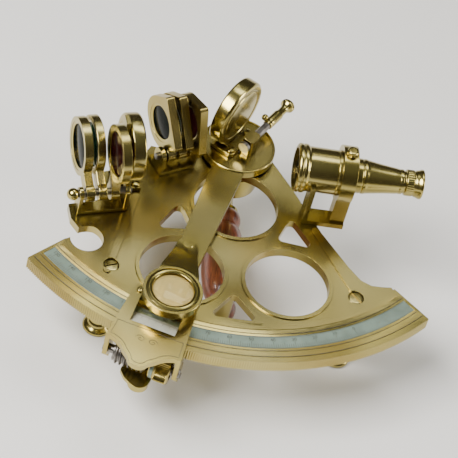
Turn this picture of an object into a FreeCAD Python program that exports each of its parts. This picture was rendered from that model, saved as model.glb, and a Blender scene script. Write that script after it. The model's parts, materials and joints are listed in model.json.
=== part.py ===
"""Small brass nautical sextant, modelled as separate pieces, in millimetres.

Frame of the part: the origin is on the index arm's pivot axis, on the surface that the
three legs stand on.  +Z points up through the frame plate, -Y points from the pivot to the
middle of the toothed arc, and +X points to the telescope's eyepiece.
"""
import FreeCAD, Part
import os
from math import atan2, cos, degrees, hypot, pi, radians, sin
from FreeCAD import Vector as V

# Driving dimensions -------------------------------------------------------------------
LIMB_R = 92.0            # radius over the tips of the arc's teeth
LIMB_HALF_ANGLE = 47.3   # the arc's half angle
LIMB_TURN = -1.4         # the arc's middle from -Y, towards -X
LIMB_INNER_R = 76.0      # inner edge of the thick limb
LIMB_T = 4.5             # thickness of the limb
WEB_T = 3.0              # thickness of the pierced plate
LEG_H = 28.5             # height of the legs, up to the underside of the limb
OPTIC_H = 17.0           # height of the light path above the limb's top
ARM_REST = -17.0         # direction of the index arm from -Y, in degrees
TOOTH_COUNT = 186        # teeth of the worm rack on the arc
TOOTH_DEPTH = 0.5
SHAFT_CLEARANCE = 0.05   # radial running clearance of shafts, rods and pins

TOP = LEG_H + LIMB_T     # height of the limb's top face
WEB_TOP = TOP - 0.5
LIMB_MIDDLE = LIMB_TURN - 90.0   # direction of the arc's middle from +X
WEB_BOTTOM = WEB_TOP - WEB_T
OPTIC_Z = TOP + OPTIC_H

HOLES = ((0.0, -24.8, 14.5), (17.8, -56.3, 14.3), (-17.8, -56.3, 14.3))
RIM_W = 1.3
RIM_H = 0.5
LEG_SPOTS = (("left", -41.3, -58.5), ("right", 41.3, -58.5))
FOOT_R = 5.0
APEX_STEM_R = 3.4
SCREW_R = 1.3
SCREW_HEAD_R = 2.6

SCALE_IN_R = 81.3
SCALE_OUT_R = 86.2
SCALE_T = 0.6

# Index arm
HUB_R = 12.9
ARM_GAP = 0.5            # air between the arm and the limb
ARM_T = 2.5
ARM_TOP_W = 11.6
ARM_END_W = 9.0
ARM_END_Y = -82.0
ARM_BOTTOM = TOP + ARM_GAP
ARM_TOP = ARM_BOTTOM + ARM_T
PIVOT_R = 3.0
PIVOT_BUSH_R = 5.0

# Clamp housing at the arm's end, in the arm's own direction
HOUSING_X = -0.8          # the clamp's middle line, beside the arm's
HOUSING_HALF_W = 12.8     # at the outer edge
HOUSING_IN_HALF_W = 10.8  # at the inner edge
HOUSING_WALL = 1.5
HOUSING_T = 2.0
HOUSING_IN_Y = -76.0
HOUSING_OUT_Y = -100.3
NOSE_R = 3.8
NOSE_Y = -108.3
SKIRT_IN_Y = -93.8
WINDOW_HALF_W = 7.7
WINDOW_OUT_Y, WINDOW_IN_Y = -91.5, -80.5
WORM_Y = -97.2
WORM_Z = TOP - 5.0
WORM_R = 4.2
DRUM_R = 5.0
WORM_SHAFT_R = 1.5
LEVER_PIN_Y = -93.0
LEVER_PIN_Z = TOP - 11.0
LEVER_PIN_R = 1.0
LEVER_TIP_X, LEVER_TIP_Y = 0.4, -100.2
LEVER_TIP_R = 3.4
LEVER_T = 1.4

# Reading magnifier, in the arm's own direction
RIVET_X, RIVET_Y = -1.5, -52.5
RIVET_R = 1.2
LENS_X, LENS_Y = 1.0, -79.8
LENS_R = 7.3
LENS_RING_R = 9.85
LENS_RING_Z = TOP + 9.5
LENS_RING_T = 3.0

# Index mirror, above the pivot
INDEX_NORMAL = 146.0     # the way the index mirror faces, from +X
MIRROR_CUP_R = 12.2
MIRROR_CUP_T = 5.0
INDEX_BACK = 2.0         # from the pivot axis to the cup's back face
ADJUSTER_OFFSET = -2.7   # from the pivot axis to the adjusting screw, behind the mirror
ADJUSTER_Z = TOP + 8.0

# Horizon mirror
HORIZON_X, HORIZON_Y = -37.5, -20.3
HORIZON_NORMAL = 14.0
HORIZON_CUP_R = 11.4

# Shades
SHADE_T = 2.9
LUG_R = 2.9
ROD_R = 1.2
EAR_T = 1.5
HORIZON_ROD_ANGLE = 16.5
HORIZON_ROD_START = (-54.6, -37.0)
HORIZON_ROD_LENGTH = 17.4
HORIZON_ROD_Z = TOP + 8.0
HORIZON_SHADE_R = 10.0
HORIZON_SHADE_REACH = 16.5
HORIZON_SHADES = ((3.6, 66.0), (7.8, 63.0), (12.0, 6.0))     # place on the rod, lean
PATH_ANGLE = degrees(atan2(-HORIZON_Y, -HORIZON_X))          # direction between the mirrors
INDEX_ROD_OFFSET = 1.6
INDEX_ROD_Z = TOP + 6.5
INDEX_SHADE_W = 17.5
INDEX_SHADE_H = 19.0
INDEX_SHADE_GAP = 1.5                                        # from the rod to the frame's edge
INDEX_SHADES = ((-27.4, 40.0), (-23.3, 36.0), (-19.2, 16.0))

# Telescope, parallel to +X
SCOPE_Y = -19.5
BARREL_R = 7.75
BARREL_BORE = 6.6
BARREL_START, BARREL_END = 17.0, 37.0
COLLAR_R = 9.75
COLLAR_START = 32.0
DRAW_R = 6.0
TAPER_START, TAPER_END = 41.0, 54.0
EYE_R = 4.3
EYE_CUP_R = 5.1
EYE_END = 61.0
BRACKET_START = 22.4
BRACKET_IN_Y, BRACKET_OUT_Y = -23.0, -29.0
DRAW_BORE = 3.0

# Handle under the frame
GRIP_FROM = (0.3, -10.0)
GRIP_TO = (-1.2, -59.6)
GRIP_R = 7.4
GRIP_Z = 11.0
POST_R = 2.6


# Helpers ------------------------------------------------------------------------------
def disc(radius, low, high, x=0.0, y=0.0):
    """Upright cylinder between two heights."""
    return Part.makeCylinder(radius, high - low, V(x, y, low))


def ring(outer, inner, low, high, x=0.0, y=0.0):
    return disc(outer, low, high, x, y).cut(disc(inner, low - 1, high + 1, x, y))


def rod(radius, start, end):
    """Cylinder from one point to another."""
    a, b = V(*start), V(*end)
    return Part.makeCylinder(radius, (b - a).Length, a, b - a)


def slab(points, low, high):
    """Upright prism over a closed outline of straight edges."""
    wire = Part.makePolygon([V(x, y, low) for x, y in points] + [V(*points[0], low)])
    return Part.Face(wire).extrude(V(0, 0, high - low))


def block(x0, x1, y0, y1, z0, z1):
    return Part.makeBox(x1 - x0, y1 - y0, z1 - z0, V(x0, y0, z0))


def turned(profile, base=(0, 0, 0), axis=(0, 0, 1)):
    """Solid of revolution; profile holds (radius, distance along the axis)."""
    points = [V(r, 0, h) for r, h in profile]
    face = Part.Face(Part.makePolygon(points + [points[0]]))
    solid = face.revolve(V(0, 0, 0), V(0, 0, 1), 360)
    solid.Placement = FreeCAD.Placement(V(*base), FreeCAD.Rotation(V(0, 0, 1), V(*axis)))
    return solid


def joined(first, *others):
    return first.fuse(list(others)).removeSplitter() if others else first


def turn_z(shape, angle):
    copy = shape.copy()
    copy.rotate(V(0, 0, 0), V(0, 0, 1), angle)
    return copy


def on_arm(shape):
    """Turn a piece drawn with the arm along -Y to the arm's direction at rest."""
    return turn_z(shape, ARM_REST)


def rounded_upright(shape, radius):
    """Round the vertical edges of a prism."""
    edges = [e for e in shape.Edges if e.Length > radius * 0.1
             and abs(e.tangentAt(e.FirstParameter).z) > 0.99]
    return shape.makeFillet(radius, edges)


def sector(inner, outer, half_angle, low, high):
    """Part of a ring, centred on the arc's middle."""
    solid = Part.makeCylinder(outer, high - low, V(0, 0, low), V(0, 0, 1), 2 * half_angle)
    solid = solid.cut(disc(inner, low - 1, high + 1))
    return turn_z(solid, LIMB_MIDDLE - half_angle)


def screw(head_r, x, y, under_head, head_h=1.0, shank_r=None, shank=2.0):
    """Cheese-head screw standing on a face, with a slot across its head."""
    head = disc(head_r, under_head, under_head + head_h, x, y)
    slot = block(x - head_r, x + head_r, y - 0.3, y + 0.3, under_head + head_h * 0.5,
                 under_head + head_h + 1)
    head = head.cut(slot)
    if shank_r:
        head = joined(head, disc(shank_r, under_head - shank, under_head, x, y))
    return head


PIECES = {}


def piece(name, shape):
    """Keep a piece under its name; pieces given the same name share one node."""
    PIECES.setdefault(name, []).append(shape)


# Frame --------------------------------------------------------------------------------
def web_outline():
    """The pierced plate: apex, right flank, both ends of the arc and the left lobes."""
    right = [(8.0, 10.0), (12.4, 3.2), (12.4, -1.8), (19.1, -12.7), (29.8, -32.0),
             (33.3, -37.2), (39.1, -45.7), (43.2, -50.7), (46.7, -52.4), (50.3, -52.4),
             (53.6, -52.0)]
    left = [(-57.2, -50.0), (-48.7, -44.6), (-52.0, -45.6),
            (-55.8, -40.5), (-57.0, -34.5), (-47.5, -31.0), (-46.5, -18.0), (-38.0, -14.0),
            (-33.0, -8.0), (-30.0, -2.6), (-20.9, -4.1), (-12.9, 2.0), (-8.0, 10.0)]
    radius = LIMB_INNER_R + 1.0
    along_limb = []
    for step in range(25):
        angle = radians(LIMB_MIDDLE + LIMB_HALF_ANGLE - 0.5 - step * (2 * LIMB_HALF_ANGLE - 1.0) / 24)
        along_limb.append((radius * cos(angle), radius * sin(angle)))
    return right + along_limb + left


def triangle(points, radius=1.6):
    hole = slab(points, WEB_BOTTOM - 2, TOP + 2)
    return rounded_upright(hole, radius)


def strip(start, end, width, low, high):
    """Straight raised rib with round ends."""
    angle = degrees(atan2(end[1] - start[1], end[0] - start[0]))
    length = hypot(end[0] - start[0], end[1] - start[1])
    bar = block(0, length, -width / 2, width / 2, low, high)
    bar = joined(bar, disc(width / 2, low, high), disc(width / 2, low, high, length))
    bar.rotate(V(0, 0, 0), V(0, 0, 1), angle)
    bar.translate(V(start[0], start[1], 0))
    return bar


def rack_outline(tip, root):
    """Sector with straight-sided teeth round its outer edge, as a closed outline."""
    points = []
    step = 2 * LIMB_HALF_ANGLE / TOOTH_COUNT
    for index in range(TOOTH_COUNT):
        start = LIMB_MIDDLE - LIMB_HALF_ANGLE + index * step
        for share, radius in ((0.0, root), (0.35, tip), (0.65, tip)):
            angle = radians(start + share * step)
            points.append((radius * cos(angle), radius * sin(angle)))
    last = radians(LIMB_MIDDLE + LIMB_HALF_ANGLE)
    points.append((root * cos(last), root * sin(last)))
    first = radians(LIMB_MIDDLE - LIMB_HALF_ANGLE)
    for angle in (last, first):
        points.append((LIMB_INNER_R * 0.9 * cos(angle), LIMB_INNER_R * 0.9 * sin(angle)))
    return points


def frame_plate():
    web = slab(web_outline(), WEB_BOTTOM, WEB_TOP)
    web = web.fuse(disc(HUB_R, WEB_BOTTOM, WEB_TOP))
    web = web.cut(disc(5.6, WEB_BOTTOM - 1, TOP, -50.0, -48.4).common(
        disc(6.5, WEB_BOTTOM - 1, TOP, -49.0, -49.6)))
    limb = slab(rack_outline(LIMB_R, LIMB_R - TOOTH_DEPTH), LEG_H, TOP)
    limb = limb.cut(disc(LIMB_INNER_R, LEG_H - 1, TOP + 1))
    groove = sector(SCALE_IN_R, SCALE_OUT_R, LIMB_HALF_ANGLE - 0.8, TOP - SCALE_T, TOP + 1)
    limb = limb.cut(groove)
    plate = web.fuse(limb)
    ridge_span = LIMB_HALF_ANGLE - 1.0
    plate = plate.fuse(sector(LIMB_INNER_R + 1.0, LIMB_INNER_R + 2.6, ridge_span, TOP - 0.1, TOP + 0.2))
    for x, y, radius in HOLES:
        plate = plate.fuse(disc(radius + RIM_W, WEB_BOTTOM, WEB_TOP + RIM_H, x, y))
    for start, end in (((-42.6, -61.0), (-36.6, -37.0)), ((-36.6, -37.0), (-34.4, -27.0)),
                       ((27.5, -31.5), (40.0, -55.0))):
        plate = plate.fuse(strip(start, end, 2.4, WEB_TOP - 0.1, WEB_TOP + RIM_H))
    for x, y, radius in HOLES:
        plate = plate.cut(disc(radius, WEB_BOTTOM - 1, TOP + 2, x, y))
    for corners in (((19.2, -26.6), (14.2, -38.0), (27.4, -39.6)),
                    ((-19.2, -26.6), (-27.4, -39.6), (-14.2, -38.0)),
                    ((0.0, -63.4), (-8.6, -74.4), (8.6, -74.4))):
        plate = plate.cut(triangle(corners))
    plate = plate.cut(disc(PIVOT_BUSH_R, WEB_BOTTOM - 1, TOP + 1))
    for _, x, y in LEG_SPOTS:
        plate = plate.cut(disc(SCREW_R, WEB_BOTTOM - 1, TOP, x, y))
        plate = plate.cut(disc(SCREW_HEAD_R + 0.1, WEB_TOP - 0.9, TOP, x, y))
    return plate.removeSplitter()


def legs():
    for side, x, y in LEG_SPOTS:
        profile = [(0, 0), (FOOT_R, 0), (FOOT_R, 1.6), (3.2, 3.2), (2.6, 9.0), (3.4, 14.5),
                   (2.6, 20.0), (3.2, 25.5), (4.2, 26.5), (4.2, WEB_BOTTOM), (0, WEB_BOTTOM)]
        leg = turned(profile, (x, y, 0))
        leg = leg.cut(disc(SCREW_R, WEB_BOTTOM - 6, WEB_BOTTOM + 1, x, y))
        piece("leg_" + side, leg)
        piece("leg_screws", screw(SCREW_HEAD_R, x, y, WEB_TOP - 0.9, 0.8,
                                    SCREW_R, WEB_T + 4.0))
    cup_depth = 10.0
    profile = [(0, 0), (FOOT_R, 0), (FOOT_R, 1.6), (3.2, 3.2), (APEX_STEM_R, 8.0), (APEX_STEM_R, 15.0),
               (9.0, 17.5), (9.6, 19.0), (9.6, WEB_BOTTOM), (7.4, WEB_BOTTOM),
               (7.4, WEB_BOTTOM - cup_depth), (0, WEB_BOTTOM - cup_depth)]
    piece("leg_apex", turned(profile))


def arc_scale():
    strip_low = TOP - SCALE_T
    half = LIMB_HALF_ANGLE - 0.9
    piece("arc_scale", sector(SCALE_IN_R + 0.05, SCALE_OUT_R - 0.05, half, strip_low, TOP + 0.05))


def pivot():
    bush = ring(PIVOT_BUSH_R, PIVOT_R + SHAFT_CLEARANCE, WEB_BOTTOM - 2.0, ARM_BOTTOM - 0.1)
    piece("pivot_bush", bush)
    shaft = joined(disc(PIVOT_R, WEB_BOTTOM - 5.5, ARM_TOP),
                   disc(4.6, WEB_BOTTOM - 6.5, WEB_BOTTOM - 2.3))
    piece("pivot_shaft", shaft)


# Handle -------------------------------------------------------------------------------
def handle():
    """Wooden grip between a stub on the pivot's leg and a post under the middle of the plate."""
    ax, ay = GRIP_FROM
    bx, by = GRIP_TO
    span = hypot(bx - ax, by - ay)
    direction = ((bx - ax) / span, (by - ay) / span, 0)
    length = span - POST_R
    profile = [(0, 0), (4.2, 0), (5.2, 2.0), (5.4, 4.4), (4.6, 6.6), (5.6, 8.6), (6.8, length * 0.32),
               (GRIP_R, length * 0.5), (6.9, length * 0.68), (5.6, length - 7.0), (4.6, length - 5.2),
               (5.2, length - 3.4), (5.0, length - 1.4), (4.2, length), (0, length)]
    piece("handle_grip", turned(profile, (ax, ay, GRIP_Z), direction))
    stub = rod(POST_R, (0, 0, GRIP_Z), (ax, ay + 1.0, GRIP_Z)).cut(disc(APEX_STEM_R, 0, TOP))
    collar = Part.makeCylinder(4.2, 1.2, V(ax, ay, GRIP_Z) - V(*direction) * 1.2, V(*direction))
    piece("handle_posts", joined(stub, collar))
    post = joined(disc(POST_R, GRIP_Z - 4.6, WEB_BOTTOM, bx, by),
                  disc(POST_R + 0.6, WEB_BOTTOM - 1.6, WEB_BOTTOM, bx, by))
    piece("handle_posts", post)


# Index arm ----------------------------------------------------------------------------
def index_arm():
    bar = slab([(-ARM_TOP_W / 2, -6.0), (-ARM_END_W / 2, -60.0), (-ARM_END_W / 2, ARM_END_Y),
                (ARM_END_W / 2, ARM_END_Y), (ARM_END_W / 2, -60.0), (ARM_TOP_W / 2, -6.0)],
               ARM_BOTTOM, ARM_TOP)
    arm = joined(bar, disc(HUB_R, ARM_BOTTOM, ARM_TOP))
    window = block(-3.2, 3.2, -90.0, -80.5, ARM_BOTTOM - 1, ARM_TOP + 1)
    arm = arm.cut(disc(PIVOT_R, ARM_BOTTOM - 1, ARM_TOP + 1)).cut(window)
    arm = arm.cut(disc(RIVET_R, ARM_BOTTOM - 1, ARM_TOP + 1, RIVET_X, RIVET_Y))
    piece("index_arm", on_arm(arm))


def housing_outline():
    """Plan of the clamp housing: straight flanks, and a nose between two hollows."""
    points = [(HOUSING_X - HOUSING_IN_HALF_W, HOUSING_IN_Y), (HOUSING_X - HOUSING_HALF_W, HOUSING_OUT_Y)]
    hollow = [(-10.6, 0.0), (-8.6, -0.9), (-6.9, -2.1), (-5.6, -3.7)]
    points += [(HOUSING_X + x, HOUSING_OUT_Y + y) for x, y in hollow]
    for step in range(9):
        angle = radians(200 + 17.5 * step)
        points.append((HOUSING_X + NOSE_R * cos(angle), NOSE_Y + NOSE_R + NOSE_R * sin(angle)))
    points += [(HOUSING_X - x, HOUSING_OUT_Y + y) for x, y in reversed(hollow)]
    points += [(HOUSING_X + HOUSING_HALF_W, HOUSING_OUT_Y), (HOUSING_X + HOUSING_IN_HALF_W, HOUSING_IN_Y)]
    return points


def housing_cheek():
    """Side wall in the YZ plane: up to the plate, round the worm shaft and the lever pin."""
    outline = [(HOUSING_OUT_Y + 0.4, ARM_TOP), (HOUSING_OUT_Y + 0.4, WORM_Z),
               (LEVER_PIN_Y - 2.3, LEVER_PIN_Z), (LEVER_PIN_Y + 2.3, LEVER_PIN_Z),
               (LEVER_PIN_Y + 1.6, LEG_H - 1.4), (SKIRT_IN_Y, LEG_H - 0.4),
               (SKIRT_IN_Y, ARM_TOP)]
    wire = Part.makePolygon([V(0, y, z) for y, z in outline + outline[:1]])
    cheek = Part.Face(wire).extrude(V(HOUSING_WALL, 0, 0))
    return joined(cheek, rod(2.7, (0, WORM_Y, WORM_Z), (HOUSING_WALL, WORM_Y, WORM_Z)),
                  rod(2.3, (0, LEVER_PIN_Y, LEVER_PIN_Z), (HOUSING_WALL, LEVER_PIN_Y, LEVER_PIN_Z)))


def clamp_housing():
    plate = slab(housing_outline(), ARM_TOP, ARM_TOP + HOUSING_T)
    window = block(HOUSING_X - WINDOW_HALF_W, HOUSING_X + WINDOW_HALF_W, WINDOW_OUT_Y, WINDOW_IN_Y,
                   ARM_TOP - 1, TOP + 9)
    plate = plate.cut(window)
    for side in (-1, 1):
        rail = slab([(HOUSING_X + side * x, y) for x, y in
                     ((HOUSING_IN_HALF_W, HOUSING_IN_Y), (HOUSING_HALF_W, HOUSING_OUT_Y),
                      (HOUSING_HALF_W - HOUSING_WALL, HOUSING_OUT_Y),
                      (HOUSING_IN_HALF_W - HOUSING_WALL, HOUSING_IN_Y))], TOP + 0.6, ARM_TOP)
        cheek = housing_cheek()
        cheek.translate(V(HOUSING_X + side * (HOUSING_HALF_W - 0.8) - HOUSING_WALL / 2, 0, 0))
        plate = joined(plate, rail, cheek)
    bore = WORM_SHAFT_R + SHAFT_CLEARANCE
    plate = plate.cut(rod(bore, (-20, WORM_Y, WORM_Z), (20, WORM_Y, WORM_Z)))
    plate = plate.cut(rod(LEVER_PIN_R, (-20, LEVER_PIN_Y, LEVER_PIN_Z), (20, LEVER_PIN_Y, LEVER_PIN_Z)))
    piece("clamp_housing", on_arm(plate))
    slope = [(WINDOW_OUT_Y, TOP + 0.8), (WINDOW_OUT_Y, ARM_TOP + 1.4), (-84.6, TOP + 1.4), (-84.6, TOP + 0.8)]
    wire = Part.makePolygon([V(HOUSING_X - WINDOW_HALF_W, y, z) for y, z in slope + slope[:1]])
    vernier = Part.Face(wire).extrude(V(2 * WINDOW_HALF_W, 0, 0))
    piece("vernier_scale", on_arm(vernier))
    for x in (-8.6, 8.6):
        piece("housing_screws", on_arm(screw(1.2, HOUSING_X + x, -78.3, ARM_TOP + HOUSING_T, 0.7)))


def micrometer():
    """Worm, knurled drum and shaft, along the tangent of the arc."""
    def along(radius, x0, x1):
        return rod(radius, (x0, WORM_Y, WORM_Z), (x1, WORM_Y, WORM_Z))
    worm = along(WORM_R - 0.9, -10.0, 1.0)
    for index in range(6):
        x = -9.5 + 1.6 * index
        worm = worm.fuse(turned([(0, 0), (WORM_R - 1.0, 0), (WORM_R, 0.55), (WORM_R, 0.75),
                                 (WORM_R - 1.0, 1.3), (0, 1.3)], (x, WORM_Y, WORM_Z), (1, 0, 0)))
    reach = HOUSING_HALF_W + 0.4
    shaft = along(WORM_SHAFT_R, HOUSING_X - reach, HOUSING_X + reach)
    piece("worm", on_arm(joined(worm, shaft)))
    drum = along(DRUM_R, 2.5, 9.6)
    for index in range(30):
        angle = 2 * pi * index / 30
        y = WORM_Y + (DRUM_R + 0.25) * cos(angle)
        z = WORM_Z + (DRUM_R + 0.25) * sin(angle)
        drum = drum.cut(rod(0.5, (3.4, y, z), (8.8, y, z)))
    drum = drum.cut(along(WORM_SHAFT_R, 0, 12))
    piece("micrometer_drum", on_arm(drum))


def release_lever():
    """Squeezed up towards the clamp's nose; a plate with a rounded thumb pad on a barrel."""
    reach = HOUSING_HALF_W + 0.4
    pin = rod(LEVER_PIN_R, (HOUSING_X - reach, LEVER_PIN_Y, LEVER_PIN_Z),
              (HOUSING_X + reach, LEVER_PIN_Y, LEVER_PIN_Z))
    piece("lever_pin", on_arm(pin))
    low = LEVER_PIN_Z - LEVER_T - 0.3
    barrel = rod(1.9, (-9.0, LEVER_PIN_Y, LEVER_PIN_Z), (4.0, LEVER_PIN_Y, LEVER_PIN_Z))
    plate = slab([(-6.4, LEVER_PIN_Y), (-6.4, -99.0), (-4.4, -101.4), (-1.6, -103.0), (LEVER_TIP_X, -103.4),
                  (LEVER_TIP_X + LEVER_TIP_R, LEVER_TIP_Y), (4.0, -99.0), (4.0, LEVER_PIN_Y)],
                 low, low + LEVER_T)
    pad = disc(LEVER_TIP_R, low - 1.2, low + LEVER_T, LEVER_TIP_X, LEVER_TIP_Y)
    lever = joined(barrel, plate, pad)
    bore = LEVER_PIN_R + SHAFT_CLEARANCE
    lever = lever.cut(rod(bore, (-20, LEVER_PIN_Y, LEVER_PIN_Z), (20, LEVER_PIN_Y, LEVER_PIN_Z)))
    piece("release_lever", on_arm(lever))


def magnifier():
    pad_low = ARM_TOP + 0.2
    rivet = joined(disc(RIVET_R, ARM_BOTTOM, pad_low + 2.4, RIVET_X, RIVET_Y),
                   disc(2.4, pad_low + 2.0, pad_low + 2.8, RIVET_X, RIVET_Y))
    piece("magnifier_rivet", on_arm(rivet))
    arm_end_y = LENS_Y + LENS_RING_R - 0.4
    high = LENS_RING_Z + 1.6
    side = [(RIVET_Y + 4.2, pad_low), (RIVET_Y - 5.0, pad_low), (arm_end_y, high - 1.6),
            (LENS_Y + LENS_R + 1.0, high - 1.6), (LENS_Y + LENS_R + 1.0, high), (arm_end_y + 1.0, high),
            (RIVET_Y - 4.0, pad_low + 1.8), (RIVET_Y + 4.2, pad_low + 1.8)]
    wire = Part.makePolygon([V(-12, y, z) for y, z in side] + [V(-12, side[0][0], side[0][1])])
    ribbon = Part.Face(wire).extrude(V(24, 0, 0))
    plan = slab([(RIVET_X - 3.6, RIVET_Y), (LENS_X - 7.6, LENS_Y + 4.0), (LENS_X + 7.6, LENS_Y + 4.0),
                 (RIVET_X + 3.6, RIVET_Y)], TOP, TOP + 20)
    plan = joined(plan, disc(3.6, TOP, TOP + 20, RIVET_X, RIVET_Y))
    arm = ribbon.common(plan)
    arm = arm.fuse(ring(LENS_RING_R, LENS_R, LENS_RING_Z, LENS_RING_Z + LENS_RING_T, LENS_X, LENS_Y))
    arm = arm.cut(disc(LENS_R, TOP, TOP + 20, LENS_X, LENS_Y))
    bore = RIVET_R + SHAFT_CLEARANCE
    arm = arm.cut(disc(bore, TOP, pad_low + 1.9, RIVET_X, RIVET_Y))
    piece("magnifier_arm", on_arm(arm.removeSplitter()))
    lens = disc(LENS_R, LENS_RING_Z + 0.6, LENS_RING_Z + 2.2, LENS_X, LENS_Y)
    dome = Part.makeSphere(19.0, V(LENS_X, LENS_Y, LENS_RING_Z + 3.4 - 19.0))
    dome = dome.common(disc(LENS_R - 0.3, LENS_RING_Z + 2.0, LENS_RING_Z + 5, LENS_X, LENS_Y))
    piece("magnifier_lens", on_arm(joined(lens, dome)))


# Mirrors ------------------------------------------------------------------------------
def standing(shape, x, y, angle):
    """Move a piece drawn about the origin, facing +X, to its place and direction."""
    copy = turn_z(shape, angle)
    copy.translate(V(x, y, 0))
    return copy


def mirror_cup(radius, back, height, depth=MIRROR_CUP_T):
    """Round cup open towards +X, and its glass."""
    cup = rod(radius, (back, 0, height), (back + depth, 0, height))
    glass_r = radius - 1.4
    cup = cup.cut(rod(glass_r, (back + 2.0, 0, height), (back + depth + 1, 0, height)))
    glass = rod(glass_r, (back + 2.0, 0, height), (back + depth - 0.5, 0, height))
    return cup, glass


def index_mirror():
    cup, glass = mirror_cup(MIRROR_CUP_R, INDEX_BACK, OPTIC_Z)
    foot_low = ARM_TOP
    foot = block(-1.6, INDEX_BACK + 5.6, -7.5, 7.5, foot_low, foot_low + 1.7)
    foot = rounded_upright(foot, 1.5)
    neck = block(INDEX_BACK, INDEX_BACK + 2.0, -4.5, 4.5, foot_low + 1.0, OPTIC_Z - 6)
    neck = neck.cut(rod(MIRROR_CUP_R, (-30, 0, OPTIC_Z), (30, 0, OPTIC_Z)))
    piece("index_mirror_cup", standing(cup, 0, 0, INDEX_NORMAL))
    piece("index_mirror_glass", standing(glass, 0, 0, INDEX_NORMAL))
    piece("index_mirror_foot", standing(joined(foot, neck), 0, 0, INDEX_NORMAL))
    for y in (-5.3, 5.3):
        head = screw(1.6, 0.2, y, foot_low + 1.7, 0.9)
        piece("index_foot_screws", standing(head, 0, 0, INDEX_NORMAL))


def index_adjuster():
    """Screw beside the index mirror, drawn along -Y of the mirror's own direction."""
    x, z = ADJUSTER_OFFSET - 1.0, ADJUSTER_Z
    post = block(x - 2.2, x + 2.0, -3.0, 2.5, ARM_TOP, z + 2.4)
    post = rounded_upright(post, 1.0)
    post = post.cut(rod(1.0 + SHAFT_CLEARANCE, (x, -10, z), (x, 10, z)))
    piece("adjuster_post", standing(post, 0, 0, INDEX_NORMAL))
    stem = joined(rod(1.0, (x, 4.2, z), (x, -5.0, z)), rod(1.35, (x, -3.2, z), (x, -10.4, z)),
                  rod(1.0, (x, -10.0, z), (x, -21.0, z)), rod(2.0, (x, 3.0, z), (x, 4.4, z)))
    piece("adjuster_stem", standing(stem, 0, 0, INDEX_NORMAL))
    profile = [(1.0, 0), (1.6, 0), (1.8, 0.8), (1.8, 7.4), (1.4, 8.6), (1.4, 10.8), (2.3, 12.6),
               (2.6, 13.6), (2.2, 14.2), (1.0, 14.2)]
    sleeve = turned(profile, (x, -10.4, z), (0, -1, 0))
    piece("adjuster_sleeve", standing(sleeve, 0, 0, INDEX_NORMAL))
    ball = Part.makeSphere(1.2, V(x + 2.1, -11.8, z + 1.5))
    ball = ball.cut(rod(1.8, (x, 0, z), (x, -15, z)))
    piece("adjuster_lock", standing(ball, 0, 0, INDEX_NORMAL))


def horizon_mirror():
    cup, glass = mirror_cup(HORIZON_CUP_R, -4.0, OPTIC_Z)
    place = (HORIZON_X, HORIZON_Y, HORIZON_NORMAL)
    piece("horizon_mirror_cup", standing(cup, *place))
    piece("horizon_mirror_glass", standing(glass, *place))
    upright = block(-5.6, -4.0, -4.5, 4.5, WEB_TOP, OPTIC_Z + 4.0)
    toe = block(-5.6, 3.5, -5.0, 5.0, WEB_TOP, WEB_TOP + 1.8)
    gusset = block(-4.0, -0.5, -0.8, 0.8, WEB_TOP + 1.8, OPTIC_Z)
    gusset = gusset.cut(rod(HORIZON_CUP_R, (-30, 0, OPTIC_Z), (30, 0, OPTIC_Z)))
    clip = block(-5.6, -4.0, -2.0, 2.0, OPTIC_Z + 3.0, OPTIC_Z + 13.5)
    piece("horizon_mirror_bracket", standing(joined(upright, toe, gusset, clip), *place))
    for y in (-3.2, 3.2):
        head = screw(1.5, 1.8, y, WEB_TOP + 1.8, 0.9)
        piece("horizon_foot_screws", standing(head, *place))
    for z in (OPTIC_Z, OPTIC_Z - 7.0):
        knob = turned([(0, 0), (1.9, 0), (2.0, 0.4), (2.0, 1.6), (1.6, 2.0), (0, 2.0)],
                      (-5.6, 0, z), (-1, 0, 0))
        piece("horizon_adjust_screws", standing(knob, *place))


# Shades -------------------------------------------------------------------------------
def shade_bracket(length, rod_z, half_w, base_x0, base_x1, base_y0, base_y1):
    """Base and two ears, with the rod's axis along +X from the first ear's outer face."""
    base = block(base_x0, base_x1, base_y0, base_y1, WEB_TOP, WEB_TOP + 1.5)
    for x in (0.0, length - EAR_T):
        ear = block(x, x + EAR_T, -half_w, half_w, WEB_TOP, rod_z)
        ear = joined(ear, rod(half_w, (x, 0, rod_z), (x + EAR_T, 0, rod_z)))
        base = joined(base, ear)
    return base.cut(rod(ROD_R, (-5, 0, rod_z), (length + 5, 0, rod_z)))


def round_shade(at, rod_z, lean):
    """Round shade frame with a lug on the rod, leaning towards +Y, and its glass."""
    low, high = at - SHADE_T / 2, at + SHADE_T / 2
    centre = rod_z + HORIZON_SHADE_REACH
    neck = block(low, high, -2.2, 2.2, rod_z, centre - HORIZON_SHADE_R + 1)
    body = joined(rod(HORIZON_SHADE_R, (low, 0, centre), (high, 0, centre)),
                  neck, rod(LUG_R, (low, 0, rod_z), (high, 0, rod_z)))
    glass_r = HORIZON_SHADE_R - 1.6
    body = body.cut(rod(glass_r, (low - 1, 0, centre), (high + 1, 0, centre)))
    body = body.cut(rod(ROD_R + SHAFT_CLEARANCE, (low - 1, 0, rod_z), (high + 1, 0, rod_z)))
    glass = rod(glass_r, (at - 0.7, 0, centre), (at + 0.7, 0, centre))
    for shape in (body, glass):
        shape.rotate(V(0, 0, rod_z), V(1, 0, 0), -lean)
    return body, glass


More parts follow.
